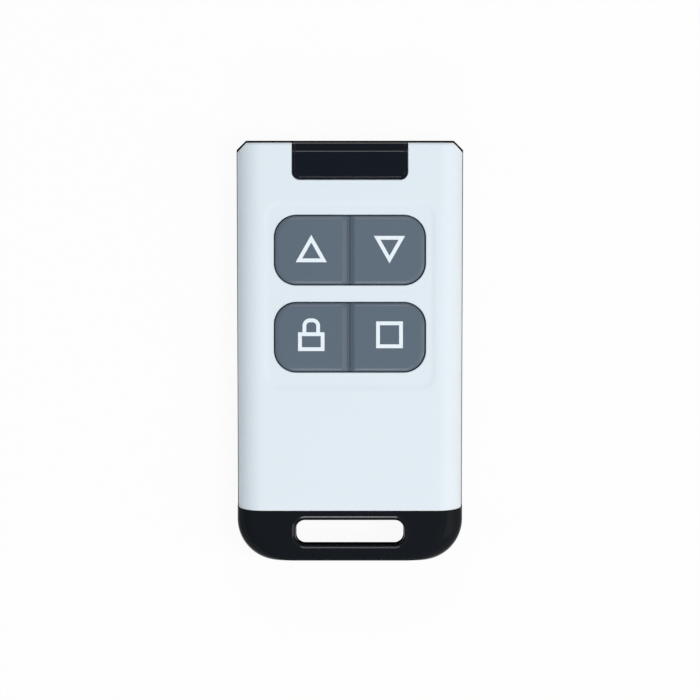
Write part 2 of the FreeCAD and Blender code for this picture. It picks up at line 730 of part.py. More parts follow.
def make_front_cover():
    """White shell: rolled shoulders, leaning joint at the tail, dish, key openings, window seat."""
    body = new_body("front_cover")
    high, low = "dim.body_height", "dim.parting_height"

    outer_low = cover_section(body, "cover_low", SEAM_TOP_Y, COVER_HALF_TAIL, "dim.side_roll", high, low)
    outer_end = cover_section(body, "cover_end", COVER_END_Y, COVER_HALF_END, "dim.side_roll", high, low)
    loft(body, "cover_block", "AdditiveLoft", outer_low, outer_end)

    corners = sketch_on(body, "cover_corners", "XY_Plane", f"{high} + {CLEAR}")
    for side in ("-1", "1"):
        add_outline(corners, [
            (f"{side} * ({COVER_HALF_END} + {CLEAR})", f"{COVER_END_Y} - dim.top_corner_cut - {CLEAR}"),
            (f"{side} * ({COVER_HALF_END} + {CLEAR})", f"{COVER_END_Y} + {CLEAR}"),
            (f"{side} * ({COVER_HALF_END} - dim.top_corner_cut - {CLEAR})", f"{COVER_END_Y} + {CLEAR}"),
        ])
    cornered = pocket(body, "cover_corner_cuts", corners)

    def end_edge(edge):
        box = edge.BoundBox
        return flat_at(edge, high) and abs(box.YMin - val(COVER_END_Y)) < 1e-3

    dress(body, "cover_end_edge", "Chamfer", cornered, end_edge, "dim.cover_edge_radius")

    lean = sketch_on(body, "cover_lean", "YZ_Plane")
    slope = "tan(dim.seam_lean)"
    gap = "dim.seam_gap"
    add_outline(lean, [
        (f"{SEAM_TOP_Y} - {CLEAR} * {slope} + {gap}", f"{high} + {CLEAR}"),
        (f"{SEAM_TOP_Y} - 2 * {CLEAR}", f"{high} + {CLEAR}"),
        (f"{SEAM_TOP_Y} - 2 * {CLEAR}", f"{low} - {CLEAR}"),
        (f"{SEAM_LOW_Y} + {CLEAR} * {slope} + {gap}", f"{low} - {CLEAR}"),
    ])
    pocket(body, "cover_lean_cut", lean, symmetric=True)

    cavity_low = cover_section(
        body, "cavity_low", f"({SEAM_LOW_Y} + dim.shell_wall)", f"({COVER_HALF_TAIL} - dim.shell_wall)",
        "dim.inner_roll", ROOF_Z, f"{low} - {CLEAR}")
    cavity_end = cover_section(
        body, "cavity_end", f"({COVER_END_Y} - dim.end_wall)", f"({COVER_HALF_END} - dim.shell_wall)",
        "dim.inner_roll", ROOF_Z, f"{low} - {CLEAR}")
    loft(body, "cover_cavity", "SubtractiveLoft", cavity_low, cavity_end)

    # Dish with sloping walls, drawn a little above the surface so that the slope runs out cleanly
    lead = "(dim.dish_depth / 3)"
    spread = "(dim.dish_wall_run * (1 / 2 + 1 / 3))"
    rim = sketch_on(body, "dish_rim", "XY_Plane", f"({high} + {lead})")
    add_rectangle(
        rim, "0", "dim.dish_centre", f"dim.dish_width + 2 * {spread}", f"dim.dish_length + 2 * {spread}",
        f"dim.dish_corner_radius + {spread}")
    floor = sketch_on(body, "dish_floor", "XY_Plane", f"({high} - dim.dish_depth)")
    run = "dim.dish_wall_run"
    add_rectangle(
        floor, "0", "dim.dish_centre", f"dim.dish_width - {run}", f"dim.dish_length - {run}",
        f"dim.dish_corner_radius - {run} / 2")
    loft(body, "dish", "SubtractiveLoft", rim, floor)

    pads = sketch_on(body, "key_openings", "XY_Plane", f"{high} + {CLEAR}")
    add_pads(pads)
    pocket(body, "key_opening_cuts", pads, f"dim.roof_thickness + 2 * {CLEAR}")

    # Window seat on the roof and down the end wall, with the hole that the light shines through
    half_lens = "(dim.lens_width / 2 + dim.lens_gap)"
    seat = sketch_on(body, "window_seat", "XY_Plane", f"{high} + {CLEAR}")
    corner = "dim.lens_corner_radius + dim.lens_gap"
    add_outline(seat, [
        (f"-{half_lens}", f"{LENS_LOW_Y} - dim.lens_gap", corner),
        (half_lens, f"{LENS_LOW_Y} - dim.lens_gap", corner),
        (half_lens, f"{COVER_END_Y} + {CLEAR}"),
        (f"-{half_lens}", f"{COVER_END_Y} + {CLEAR}"),
    ])
    pocket(body, "window_seat_cut", seat, f"{CLEAR} + dim.lens_recess")
    front = sketch_on(body, "window_end_seat", "XY_Plane", f"{high} + {CLEAR}")
    add_outline(front, [
        (f"-{half_lens}", LENS_BACK_Y),
        (half_lens, LENS_BACK_Y),
        (half_lens, f"{COVER_END_Y} + {CLEAR}"),
        (f"-{half_lens}", f"{COVER_END_Y} + {CLEAR}"),
    ])
    pocket(body, "window_end_seat_cut", front)
    light = sketch_on(body, "light_hole", "XY_Plane", f"{high} + {CLEAR}")
    add_rectangle(light, "0", LIGHT_Y, "dim.light_hole_width", "dim.light_hole_length")
    pocket(body, "light_hole_cut", light, f"dim.roof_thickness + 2 * {CLEAR}")

    # Screw posts down to the case bosses, and rails down to the board
    root = "(dim.roof_thickness / 4)"
    posts = sketch_on(body, "screw_posts", "XY_Plane", POST_Z)
    for x, y in post_places():
        add_circle(posts, x, y, "dim.post_radius")
    pad(body, "screw_post_pads", posts, f"{ROOF_Z} + {root} - {POST_Z}")
    pilots = sketch_on(body, "screw_pilots", "XY_Plane", POST_Z)
    for x, y in post_places():
        add_circle(pilots, x, y, "dim.screw_radius + dim.screw_hole_gap")
    pocket(body, "screw_pilot_holes", pilots, "dim.screw_length - 2 * dim.screw_hole_gap", upward=True)
    rails = sketch_on(body, "board_rails", "XY_Plane", f"({BOARD_TOP_Z} + dim.rail_gap)")
    for side in ("-1", "1"):
        add_rectangle(
            rails, f"{side} * ({HALF_TAIL} - dim.rail_from_side)", "0", "dim.rail_width", "dim.rail_length")
    pad(body, "board_rail_pads", rails, "dim.rail_height")


def make_window_lens():
    """Smoked window: a plate on the roof that turns down the window end, with a slanting facet."""
    body = new_body("window_lens")
    side = sketch_on(body, "lens_side", "YZ_Plane")
    facet_y = f"{COVER_END_Y} - dim.lens_facet_run"
    add_outline(side, [
        (LENS_LOW_Y, "dim.body_height - dim.lens_recess"),
        (f"{LENS_BACK_Y} + dim.lens_sink", "dim.body_height - dim.lens_recess"),
        (f"{LENS_BACK_Y} + dim.lens_sink", "dim.parting_height + dim.lens_gap"),
        (COVER_END_Y, "dim.parting_height + dim.lens_gap"),
        (COVER_END_Y, f"{LENS_TOP_Z} - dim.lens_facet_drop"),
        (facet_y, LENS_TOP_Z),
        (LENS_LOW_Y, LENS_TOP_Z),
    ])
    plate = pad(body, "lens_plate", side, "dim.lens_width", symmetric=True)

    def low_corner(edge):
        box = edge.BoundBox
        upright = box.ZLength > val("dim.lens_recess") / 2
        return upright and box.YLength < 1e-3 and abs(box.YMin - val(LENS_LOW_Y)) < 1e-3

    rounded = dress(body, "lens_corners", "Fillet", plate, low_corner, "dim.lens_corner_radius")

    def rim(edge):
        return flat_at(edge, LENS_TOP_Z) and edge.BoundBox.YMin < val(facet_y) - 1e-3

    dress(body, "lens_rim", "Chamfer", rounded, rim, "dim.lens_bevel")


def key_corners(side, row, inset, inner="dim.key_split / 2"):
    """Half a pad: square at the split, rounded at the two outer corners, drawn in by an inset."""
    half = f"(dim.pad_width / 2 - ({inset}))"
    reach = f"(dim.pad_length / 2 - ({inset}))"
    radius = f"dim.pad_corner_radius - ({inset})"
    return [
        (f"{side} * ({inner})", f"{row} - {reach}"),
        (f"{side} * {half}", f"{row} - {reach}", radius),
        (f"{side} * {half}", f"{row} + {reach}", radius),
        (f"{side} * ({inner})", f"{row} + {reach}"),
    ]


def triangle(x, y, points_up, inset):
    """Triangle drawn in by a stroke: the apex draws in further than the base."""
    half_width, half_height = "(dim.triangle_width / 2)", "(dim.triangle_height / 2)"
    slant = f"sqrt({half_width} * {half_width} + dim.triangle_height * dim.triangle_height)"
    apex_in = f"({inset}) * {slant} / {half_width}"
    foot_in = f"({inset}) * ({slant} + {half_width}) / dim.triangle_height"
    up = "1" if points_up else "-1"
    return [
        (f"{x} - ({half_width} - {foot_in})", f"{y} - {up} * ({half_height} - ({inset}))"),
        (f"{x} + ({half_width} - {foot_in})", f"{y} - {up} * ({half_height} - ({inset}))"),
        (x, f"{y} + {up} * ({half_height} - {apex_in})"),
    ]


def box_corners(x, low, high, width):
    left, right = f"{x} - ({width}) / 2", f"{x} + ({width}) / 2"
    return [(left, low), (right, low), (right, high), (left, high)]


def legend_strokes(kind, x, row):
    """Each symbol as strokes; a stroke is a list of nested outlines."""
    stroke = "dim.legend_stroke"
    if kind in ("up", "down"):
        points_up = kind == "up"
        middle = f"({row} + dim.{kind}_raise)"
        return [[triangle(x, middle, points_up, "0"), triangle(x, middle, points_up, stroke)]]
    if kind == "stop":
        middle = f"({row} + dim.square_raise)"
        half = "dim.square_side / 2"
        outer = box_corners(x, f"{middle} - {half}", f"{middle} + {half}", "dim.square_side")
        inner = box_corners(
            x, f"{middle} - {half} + {stroke}", f"{middle} + {half} - {stroke}",
            f"dim.square_side - 2 * {stroke}")
        return [[outer, inner]]
    low = f"({row} + dim.lock_raise - dim.lock_total_length / 2)"
    top = f"({low} + dim.lock_body_length)"
    crown = f"({low} + dim.lock_total_length)"
    outer = box_corners(x, low, top, "dim.lock_width")
    inner = box_corners(
        x, f"{low} + {stroke}", f"{top} - {stroke}", f"dim.lock_width - 2 * {stroke}")
    half = "dim.shackle_width / 2"
    foot = f"{top} - {stroke} / 2"
    shackle = [
        (f"{x} - {half}", foot),
        (f"{x} - {half}", crown, "dim.shackle_radius"),
        (f"{x} + {half}", crown, "dim.shackle_radius"),
        (f"{x} + {half}", foot),
        (f"{x} + {half} - {stroke}", foot),
        (f"{x} + {half} - {stroke}", f"{crown} - {stroke}", f"dim.shackle_radius - {stroke}"),
        (f"{x} - {half} + {stroke}", f"{crown} - {stroke}", f"dim.shackle_radius - {stroke}"),
        (f"{x} - {half} + {stroke}", foot),
    ]
    return [[outer, inner], [shackle]]


def stroke_sketches(body, name, kind, x, row, height):
    """One sketch for each stroke of a symbol."""
    sketches = []
    for i, outlines in enumerate(legend_strokes(kind, x, row), start=1):
        sketch = sketch_on(body, f"{name}_{i}", "XY_Plane", height)
        for outline in outlines:
            add_outline(sketch, outline)
        sketches.append(sketch)
    return sketches


def make_key(kind, side, row, legend_x):
    """Key cap with a flange under the roof, a post to the switch, half the valley, and its symbol."""
    body = new_body(f"key_{kind}")
    outline = sketch_on(body, f"{kind}_cap", "XY_Plane", FLANGE_Z)
    add_outline(outline, key_corners(side, row, "dim.key_gap"))
    cap = pad(body, f"{kind}_cap_pad", outline, f"{KEY_TOP_Z} - {FLANGE_Z}")

    def outer_top_edge(edge):
        centre = edge.BoundBox.Center
        inner = val("dim.key_split / 2") + 1e-3
        return flat_at(edge, KEY_TOP_Z) and abs(centre.x) > inner

    dress(body, f"{kind}_cap_edge", "Fillet", cap, outer_top_edge, "dim.key_edge_radius")
    flange = sketch_on(body, f"{kind}_flange", "XY_Plane", FLANGE_Z)
    add_outline(flange, key_corners(side, row, "-dim.key_flange_width"))
    pad(body, f"{kind}_flange_pad", flange, "dim.key_flange_thickness")

    # Valley between the two keys of a pad, running out before the ends
    valley = sketch_on(body, f"{kind}_valley", "YZ_Plane")
    axis_z = f"({KEY_TOP_Z} - dim.valley_depth + dim.valley_radius)"
    half = "(dim.pad_length / 2 - dim.key_gap - dim.valley_end)"
    add_outline(valley, [
        (f"{row} - {half}", axis_z),
        (f"{row} - {half} + dim.valley_fade", f"{axis_z} - dim.valley_radius"),
        (f"{row} + {half} - dim.valley_fade", f"{axis_z} - dim.valley_radius"),
        (f"{row} + {half}", axis_z),
    ])
    groove = body.newObject("PartDesign::Groove", f"{kind}_valley_cut")
    groove.Profile = valley
    axis_ends = (f"{row} - {CLEAR}", f"{row} + {CLEAR}")
    points = [FreeCAD.Vector(val(y), val(axis_z), 0) for y in axis_ends]
    line_above = valley.addGeometry(Part.LineSegment(*points), True)
    locate(valley, line_above, 1, axis_ends[0], axis_z)
    locate(valley, line_above, 2, axis_ends[1], axis_z)
    groove.ReferenceAxis = (valley, ["Axis0"])
    groove.Angle = 360

    # Hollow underneath, with the post left standing
    hollow = sketch_on(body, f"{kind}_hollow", "XY_Plane", FLANGE_Z)
    add_outline(hollow, key_corners(side, row, "dim.key_gap + dim.key_skirt", "dim.key_split / 2 + dim.key_skirt"))
    add_circle(hollow, f"{side} * {KEY_X}", row, "dim.key_post_radius")
    pocket(body, f"{kind}_hollow_cut", hollow, f"{KEY_TOP_Z} - {FLANGE_Z} - dim.key_roof", upward=True)
    post_z = f"({PLUNGER_TOP_Z} + dim.key_plunger_gap)"
    post = sketch_on(body, f"{kind}_post", "XY_Plane", post_z)
    add_circle(post, f"{side} * {KEY_X}", row, "dim.key_post_radius")
    pad(body, f"{kind}_post_pad", post, f"{KEY_TOP_Z} - dim.key_roof - {post_z}")

    for i, sketch in enumerate(
            stroke_sketches(body, f"{kind}_mark", kind, legend_x, row, KEY_TOP_Z), start=1):
        pocket(body, f"{kind}_mark_cut_{i}", sketch, "dim.legend_depth")

    legend = new_body(f"legend_{kind}")
    floor_z = f"({KEY_TOP_Z} - dim.legend_depth)"
    for i, sketch in enumerate(
            stroke_sketches(legend, f"{kind}_stroke", kind, legend_x, row, floor_z), start=1):
        pad(legend, f"{kind}_stroke_pad_{i}", sketch, "dim.legend_depth")


def make_switch(kind, side, row):
    """Tact switch: plastic base with a well, snap dome, plunger, metal plate and four terminals."""
    x = f"{side} * {KEY_X}"
    size = "dim.switch_side"
    base = block(f"{kind}_base_block", x, row, BOARD_TOP_Z, size, size, "dim.switch_base_height")
    well = disc(f"{kind}_well", x, row, WELL_Z, "dim.switch_well_radius", f"{WELL_DEPTH} + {CLEAR}")
    node(less(f"switch_base_{kind}", base, well))

    plate = block(f"{kind}_plate_block", x, row, PLATE_Z, size, size, "dim.switch_plate")
    hole = disc(
        f"{kind}_plate_hole", x, row, f"{PLATE_Z} - {CLEAR}",
        "dim.plunger_radius + dim.plunger_hole_gap", f"dim.switch_plate + 2 * {CLEAR}")
    node(less(f"switch_plate_{kind}", plate, hole))

    foot = disc(f"{kind}_foot", x, row, FOOT_Z, "dim.plunger_foot_radius", "dim.plunger_foot_height")
    stem = disc(f"{kind}_stem", x, row, FOOT_Z, "dim.plunger_radius", f"{PLUNGER_TOP_Z} - {FOOT_Z}")
    node(joined(f"plunger_{kind}", [foot, stem]))

    # The dome is a shallow cap of a ball, as high as the space under the plunger
    dome = new_body(f"dome_{kind}")
    rise = f"({FOOT_Z} - dim.dome_gap - {WELL_Z})"
    ball = f"((dim.dome_radius * dim.dome_radius + {rise} * {rise}) / (2 * {rise}))"
    profile = sketch_on(dome, f"{kind}_dome_profile", "XZ_Plane", row, shift=x)
    dome_profile(profile, rise, ball)
    turned(dome, f"{kind}_dome_turn", "Revolution", profile)

    half = "(dim.switch_side + dim.terminal_length) / 2"
    legs = []
    for sx in ("-1", "1"):
        for sy in ("-1", "1"):
            legs.append(block(
                f"{kind}_leg", f"{x} + {sx} * {half}", f"{row} + {sy} * dim.terminal_pitch / 2", BOARD_TOP_Z,
                "dim.terminal_length", "dim.terminal_width", "dim.terminal_thickness"))
    return legs


def dome_profile(sketch, rise, ball):
    """Half section of the snap dome: two arcs about the ball's centre, an axis line and a flat foot."""
    centre_z = f"({WELL_Z} + {rise} - {ball})"
    inner = f"({ball} - dim.dome_thickness)"
    centre = FreeCAD.Vector(0, val(centre_z), 0)
    foot_x = f"sqrt({ball} * {ball} - ({WELL_Z} - {centre_z}) * ({WELL_Z} - {centre_z}))"
    inner_x = f"sqrt({inner} * {inner} - ({WELL_Z} - {centre_z}) * ({WELL_Z} - {centre_z}))"
    outer_foot = FreeCAD.Vector(val(foot_x), val(WELL_Z), 0)
    inner_foot = FreeCAD.Vector(val(inner_x), val(WELL_Z), 0)
    arcs = []
    for radius, foot in ((ball, outer_foot), (inner, inner_foot)):
        circle = Part.Circle(centre, FreeCAD.Vector(0, 0, 1), val(radius))
        start = math.atan2(foot.y - centre.y, foot.x - centre.x)
        arcs.append(sketch.addGeometry(Part.ArcOfCircle(circle, start, math.pi / 2), False))
    outer_top = FreeCAD.Vector(0, centre.y + val(ball), 0)
    inner_top = FreeCAD.Vector(0, centre.y + val(inner), 0)
    crown = sketch.addGeometry(Part.LineSegment(outer_top, inner_top), False)
    foot = sketch.addGeometry(Part.LineSegment(inner_foot, outer_foot), False)
    constrain(sketch, "Coincident", arcs[0], 2, crown, 1)
    constrain(sketch, "Coincident", crown, 2, arcs[1], 2)
    constrain(sketch, "Coincident", arcs[1], 1, foot, 1)
    constrain(sketch, "Coincident", foot, 2, arcs[0], 1)
    constrain(sketch, "Coincident", arcs[0], 3, arcs[1], 3)
    constrain(sketch, "PointOnObject", crown, 1, -2)
    constrain(sketch, "PointOnObject", crown, 2, -2)
    constrain(sketch, "Horizontal", foot)
    locate(sketch, arcs[0], 3, "0", centre_z)
    constrain(sketch, "Radius", arcs[0], size=ball)
    constrain(sketch, "Radius", arcs[1], size=inner)
    constrain(sketch, "DistanceY", -1, 1, foot, 1, size=WELL_Z)


def make_circuit_board():
    body = new_body("circuit_board")
    plan = sketch_on(body, "board_plan", "XY_Plane", BOARD_Z)
    half_low = f"({COVER_HALF_TAIL} - dim.shell_wall - dim.board_gap)"
    half_end = f"({COVER_HALF_END} - dim.shell_wall - dim.board_gap)"
    low = f"{SEAM_LOW_Y} + dim.shell_wall + dim.board_gap"
    end = f"{COVER_END_Y} - dim.end_wall - dim.board_gap"
    add_outline(plan, [(f"-{half_low}", low), (half_low, low), (half_end, end), (f"-{half_end}", end)])
    pad(body, "board_plate", plan, "dim.board_thickness")
    holes = sketch_on(body, "board_post_holes", "XY_Plane", BOARD_Z)
    for x, y in post_places():
        add_circle(holes, x, y, "dim.post_radius + dim.board_post_gap")
    pocket(body, "board_post_cuts", holes, upward=True)


def make_coin_cell():
    """Coin cell in three pieces: can, seal ring and cap, with the cap side towards the board."""
    can = new_body("cell_can")
    section = sketch_on(can, "can_section", "YZ_Plane", shift=CELL_Y)
    crimp = f"({CELL_TOP_Z} - dim.cell_cap_rise)"
    floor = f"({CELL_Z} + dim.cell_wall)"
    inner = "(dim.cell_radius - dim.cell_wall)"
    edge = "(dim.cell_wall / 2)"
    add_outline(section, [
        ("0", CELL_Z),
        ("dim.cell_radius", CELL_Z, edge),
        ("dim.cell_radius", crimp, edge),
        (inner, crimp),
        (inner, floor),
        ("0", floor),
    ])
    turned(can, "can_turn", "Revolution", section)

    seal = new_body("cell_seal")
    ring = sketch_on(seal, "seal_section", "YZ_Plane", shift=CELL_Y)
    add_outline(ring, [
        ("dim.cell_cap_radius", floor),
        (inner, floor),
        (inner, crimp),
        ("dim.cell_cap_radius", crimp),
    ])
    turned(seal, "seal_turn", "Revolution", ring)

    cap = new_body("cell_cap")
    disc_section = sketch_on(cap, "cap_section", "YZ_Plane", shift=CELL_Y)
    add_outline(disc_section, [
        ("0", floor),
        ("dim.cell_cap_radius", floor),
        ("dim.cell_cap_radius", CELL_TOP_Z, edge),
        ("0", CELL_TOP_Z),
    ])
    turned(cap, "cap_turn", "Revolution", disc_section)


def make_contacts():
    """Spring leaf on the cell's cap, and a clip on the side of its can; both lie under the board."""
    leaf = new_body("negative_contact")
    sheet = "dim.contact_thickness"
    side = sketch_on(leaf, "leaf_side", "XZ_Plane", CELL_Y)
    flat = "(dim.spring_leaf_base / 2)"
    tip = f"({flat} + dim.spring_leaf_arm)"
    toe = f"({tip} + dim.spring_leaf_foot)"
    under = f"({BOARD_Z} - {sheet})"
    right = [(toe, CELL_TOP_Z), (toe, f"{CELL_TOP_Z} + {sheet}"), (tip, f"{CELL_TOP_Z} + {sheet}"), (flat, BOARD_Z)]
    left = [(f"-{x}", z) for x, z in reversed(right)]
    inner_left = [(f"-{tip}", CELL_TOP_Z), (f"-{flat}", under)]
    inner_right = [(flat, under), (tip, CELL_TOP_Z)]
    add_outline(side, right + left + inner_left + inner_right)
    pad(leaf, "leaf_strip", side, "dim.spring_leaf_width", symmetric=True)

    clip = new_body("positive_clip")
    profile = sketch_on(clip, "clip_side", "YZ_Plane")
    near = f"({CELL_Y} + dim.cell_radius + dim.clip_gap)"
    add_outline(profile, [
        (near, BOARD_Z),
        (near, f"{BOARD_Z} - dim.clip_drop"),
        (f"{near} + {sheet}", f"{BOARD_Z} - dim.clip_drop"),
        (f"{near} + {sheet}", under),
        (f"{near} + dim.clip_foot", under),
        (f"{near} + dim.clip_foot", BOARD_Z),
    ])
    pad(clip, "clip_strip", profile, "dim.clip_width", symmetric=True)


def make_battery_door():
    """Round door: a disc with a coin slot, a rim with three lugs, and a seal ring in its face."""
    body = new_body("battery_door")
    section = sketch_on(body, "door_section", "YZ_Plane", shift=CELL_Y)
    groove_out = f"({DOOR_RIM_RADIUS} + 2 * dim.seal_radius + 2 * dim.seal_groove_gap)"
    groove_z = "(dim.seat_height - 2 * dim.seal_radius - 2 * dim.seal_groove_gap)"
    rim_in = f"({DOOR_RIM_RADIUS} - dim.door_rim_wall)"
    add_outline(section, [
        ("0", "dim.door_sink"),
        ("dim.door_radius", "dim.door_sink"),
        ("dim.door_radius", DOOR_TOP_Z),
        (groove_out, DOOR_TOP_Z),
        (groove_out, groove_z),
        (DOOR_RIM_RADIUS, groove_z),
        (DOOR_RIM_RADIUS, LUG_TOP_Z),
        (rim_in, LUG_TOP_Z),
        (rim_in, DOOR_FLOOR_Z),
        ("0", DOOR_FLOOR_Z),
    ])
    turned(body, "door_disc", "Revolution", section)
    lug = sketch_on(body, "door_lug", "YZ_Plane", shift=CELL_Y)
    root = f"({DOOR_RIM_RADIUS} - dim.door_rim_wall / 2)"
    add_outline(lug, [(root, LUG_Z), (LUG_RADIUS, LUG_Z), (LUG_RADIUS, LUG_TOP_Z), (root, LUG_TOP_Z)])
    swept = turned(body, "door_lug_turn", "Revolution", lug, "dim.lug_angle")
    polar(body, "door_lugs", swept, lug, "dim.lug_count")
    slot = sketch_on(body, "coin_slot", "XY_Plane", "dim.door_sink")
    add_rectangle(
        slot, "0", CELL_Y, "dim.coin_slot_length", "dim.coin_slot_width", "dim.coin_slot_corner_radius")
    pocket(body, "coin_slot_cut", slot, "dim.coin_slot_depth", upward=True)

    seal = new_body("door_seal")
    centre_z = f"({groove_z} + dim.seal_radius + dim.seal_groove_gap)"
    round_section = sketch_on(seal, "door_seal_section", "YZ_Plane", shift=CELL_Y)
    add_circle(
        round_section, f"{DOOR_RIM_RADIUS} + dim.seal_radius + dim.seal_groove_gap", centre_z, "dim.seal_radius")
    turned(seal, "door_seal_turn", "Revolution", round_section)


def make_screws():
    screws = []
    head_top = "(dim.screw_sink + dim.screw_head_height)"
    for i, (x, y) in enumerate(post_places(), start=1):
        head = disc(f"screw_{i}_head", x, y, "dim.screw_sink", "dim.screw_head_radius", "dim.screw_head_height")
        shank = disc(f"screw_{i}_shank", x, y, "dim.screw_sink", "dim.screw_radius",
                     "dim.screw_head_height + dim.screw_length")
        whole = joined(f"screw_{i}_blank", [head, shank])
        arms = []
        for length, width in (("cross_length", "cross_width"), ("cross_width", "cross_length")):
            arms.append(block(
                f"screw_{i}_{length}", x, y, f"{head_top} - dim.screw_head_height - {CLEAR}",
                f"dim.{length}", f"dim.{width}", f"dim.cross_depth + {CLEAR}"))
        screws.append(less(f"screw_{i}", whole, joined(f"screw_{i}_cross", arms)))
    node(group("case_screws", screws))


def make_radio():
    """Parts on the front of the board, below the keys and beside the light."""
    node(block(
        "encoder_chip", "dim.chip_x", CHIP_Y, f"{BOARD_TOP_Z} + dim.chip_stand_off",
        "dim.chip_length", "dim.chip_width", "dim.chip_height"))
    leads = []
    lead_y = "(dim.chip_width + dim.chip_lead_reach) / 2"
    lead_height = "dim.chip_stand_off + dim.chip_height / 2"
    for sy in ("-1", "1"):
        for step in ("-1.5", "-0.5", "0.5", "1.5"):
            leads.append(block(
                "chip_lead", f"dim.chip_x + {step} * dim.chip_lead_pitch", f"{CHIP_Y} + {sy} * {lead_y}",
                BOARD_TOP_Z, "dim.chip_lead_width", "dim.chip_lead_reach", lead_height))
    node(group("chip_leads", leads))

    can = new_body("resonator_can")
    plan = sketch_on(can, "resonator_plan", "XY_Plane", BOARD_TOP_Z)
    side = "dim.resonator_side"
    add_rectangle(plan, "dim.resonator_x", RESONATOR_Y, side, side, "dim.resonator_edge")
    pad(can, "resonator_block", plan, "dim.resonator_height")

    node(block(
        "transistor", "dim.transistor_x", TRANSISTOR_Y, BOARD_TOP_Z,
        "dim.transistor_length", "dim.transistor_width", "dim.transistor_height"))

    coil = new_body("tuning_coil")
    drum = sketch_on(coil, "coil_section", "XZ_Plane", COIL_Y, shift="dim.coil_x")
    low = f"({BOARD_TOP_Z} + dim.coil_flange)"
    high = f"({BOARD_TOP_Z} + dim.coil_height - dim.coil_flange)"
    top = f"({BOARD_TOP_Z} + dim.coil_height)"
    add_outline(drum, [
        ("0", BOARD_TOP_Z),
        ("dim.coil_radius", BOARD_TOP_Z),
        ("dim.coil_radius", low),
        ("dim.coil_waist_radius", low),
        ("dim.coil_waist_radius", high),
        ("dim.coil_radius", high),
        ("dim.coil_radius", top),
        ("0", top),
    ])
    turned(coil, "coil_turn", "Revolution", drum)

    # Chip parts: two resistors in a row, two capacitors in a column, and one of each beside the light
    resistor_places = (
        ("-dim.resistor_row_x", RESISTOR_ROW_Y),
        ("dim.resistor_row_x", RESISTOR_ROW_Y),
        ("-dim.light_parts_x", LIGHT_PARTS_Y),
    )
    step = "dim.capacitor_column_pitch / 2"
    capacitor_places = (
        ("dim.capacitor_column_x", f"{CAPACITOR_COLUMN_Y} - {step}"),
        ("dim.capacitor_column_x", f"{CAPACITOR_COLUMN_Y} + {step}"),
        ("dim.light_parts_x", LIGHT_PARTS_Y),
    )
    for name, height, places in (
            ("resistors", "dim.resistor_height", resistor_places),
            ("capacitors", "dim.capacitor_height", capacitor_places)):
        parts = []
        for x, y in places:
            parts.append(block(
                name[:-1], x, y, BOARD_TOP_Z, "dim.chip_part_length", "dim.chip_part_width", height))
        node(group(name, parts))

    aerial = new_body("aerial_wire")
    low_y = f"({SEAM_LOW_Y} + dim.aerial_from_seam)"
    wire_z = f"({BOARD_TOP_Z} + dim.aerial_radius)"
    half = "(dim.aerial_width / 2)"
    route = sketch_on(aerial, "aerial_route", "XY_Plane", wire_z)
    add_open_route(route, [
        (f"-{half}", f"{low_y} + dim.aerial_length"),
        (f"-{half}", low_y),
        (half, low_y),
        (half, f"{low_y} + dim.aerial_length"),
    ], "dim.aerial_corner_radius")
    end = sketch_on(aerial, "aerial_section", "XZ_Plane", f"({low_y} + dim.aerial_length)")
    add_circle(end, f"-{half}", wire_z, "dim.aerial_radius")
    pipe = aerial.newObject("PartDesign::AdditivePipe", "aerial_pipe")
    pipe.Profile = end
    pipe.Spine = route

    bulb_z = f"({BOARD_TOP_Z} + dim.light_flange_height)"
    flange = disc("light_flange", "0", LIGHT_Y, BOARD_TOP_Z, "dim.light_flange_radius", "dim.light_flange_height")
    bulb = disc("light_bulb", "0", LIGHT_Y, BOARD_TOP_Z, "dim.light_bulb_radius",
                "dim.light_flange_height + dim.light_bulb_height")
    tip = doc.addObject("Part::Sphere", "light_tip")
    tip.setExpression("Radius", "dim.light_bulb_radius")
    tip.Angle1 = 0
    bind_place(tip, "0", LIGHT_Y, f"{bulb_z} + dim.light_bulb_height")
    node(joined("indicator_light", [flange, bulb, tip]))


def add_open_route(sketch, corners, radius):
    """Open route of straight runs and tangent arcs."""
    points = [FreeCAD.Vector(val(x), val(y), 0) for x, y in corners]
    entry, leave, arcs, ends = list(points), list(points), {}, {}
    for i in range(1, len(points) - 1):
        entry[i], leave[i], arcs[i], ends[i] = corner_arc(points[i - 1], points[i], points[i + 1], val(radius))
    lines = []
    for i in range(len(points) - 1):
        lines.append(sketch.addGeometry(Part.LineSegment(leave[i], entry[i + 1]), False))
    locate(sketch, lines[0], 1, corners[0][0], corners[0][1])
    locate(sketch, lines[-1], 2, corners[-1][0], corners[-1][1])
    for i in sorted(arcs):
        arc = sketch.addGeometry(arcs[i], False)
        sharp = sketch.addGeometry(Part.Point(points[i]), True)
        locate(sketch, sharp, 1, corners[i][0], corners[i][1])
        constrain(sketch, "PointOnObject", sharp, 1, lines[i - 1])
        constrain(sketch, "PointOnObject", sharp, 1, lines[i])
        constrain(sketch, "Tangent", lines[i - 1], 2, arc, ends[i][0])
        constrain(sketch, "Tangent", arc, ends[i][1], lines[i], 1)
        constrain(sketch, "Radius", arc, size=radius)


make_rear_case()
make_front_cover()
make_window_lens()
make_circuit_board()
make_coin_cell()
make_contacts()
make_battery_door()
make_screws()
make_radio()
terminals = []
KEYS = (
    ("up", "-1", UPPER_ROW_Y, "(-dim.legend_left)"),
    ("down", "1", UPPER_ROW_Y, "(dim.legend_right)"),
    ("lock", "-1", LOWER_ROW_Y, "(-dim.legend_left)"),
    ("stop", "1", LOWER_ROW_Y, "(dim.legend_right)"),
)
for kind, side, row_y, legend_x in KEYS:
    make_key(kind, side, row_y, legend_x)
    terminals += make_switch(kind, side, row_y)
node(group("switch_terminals", terminals))
doc.recompute()

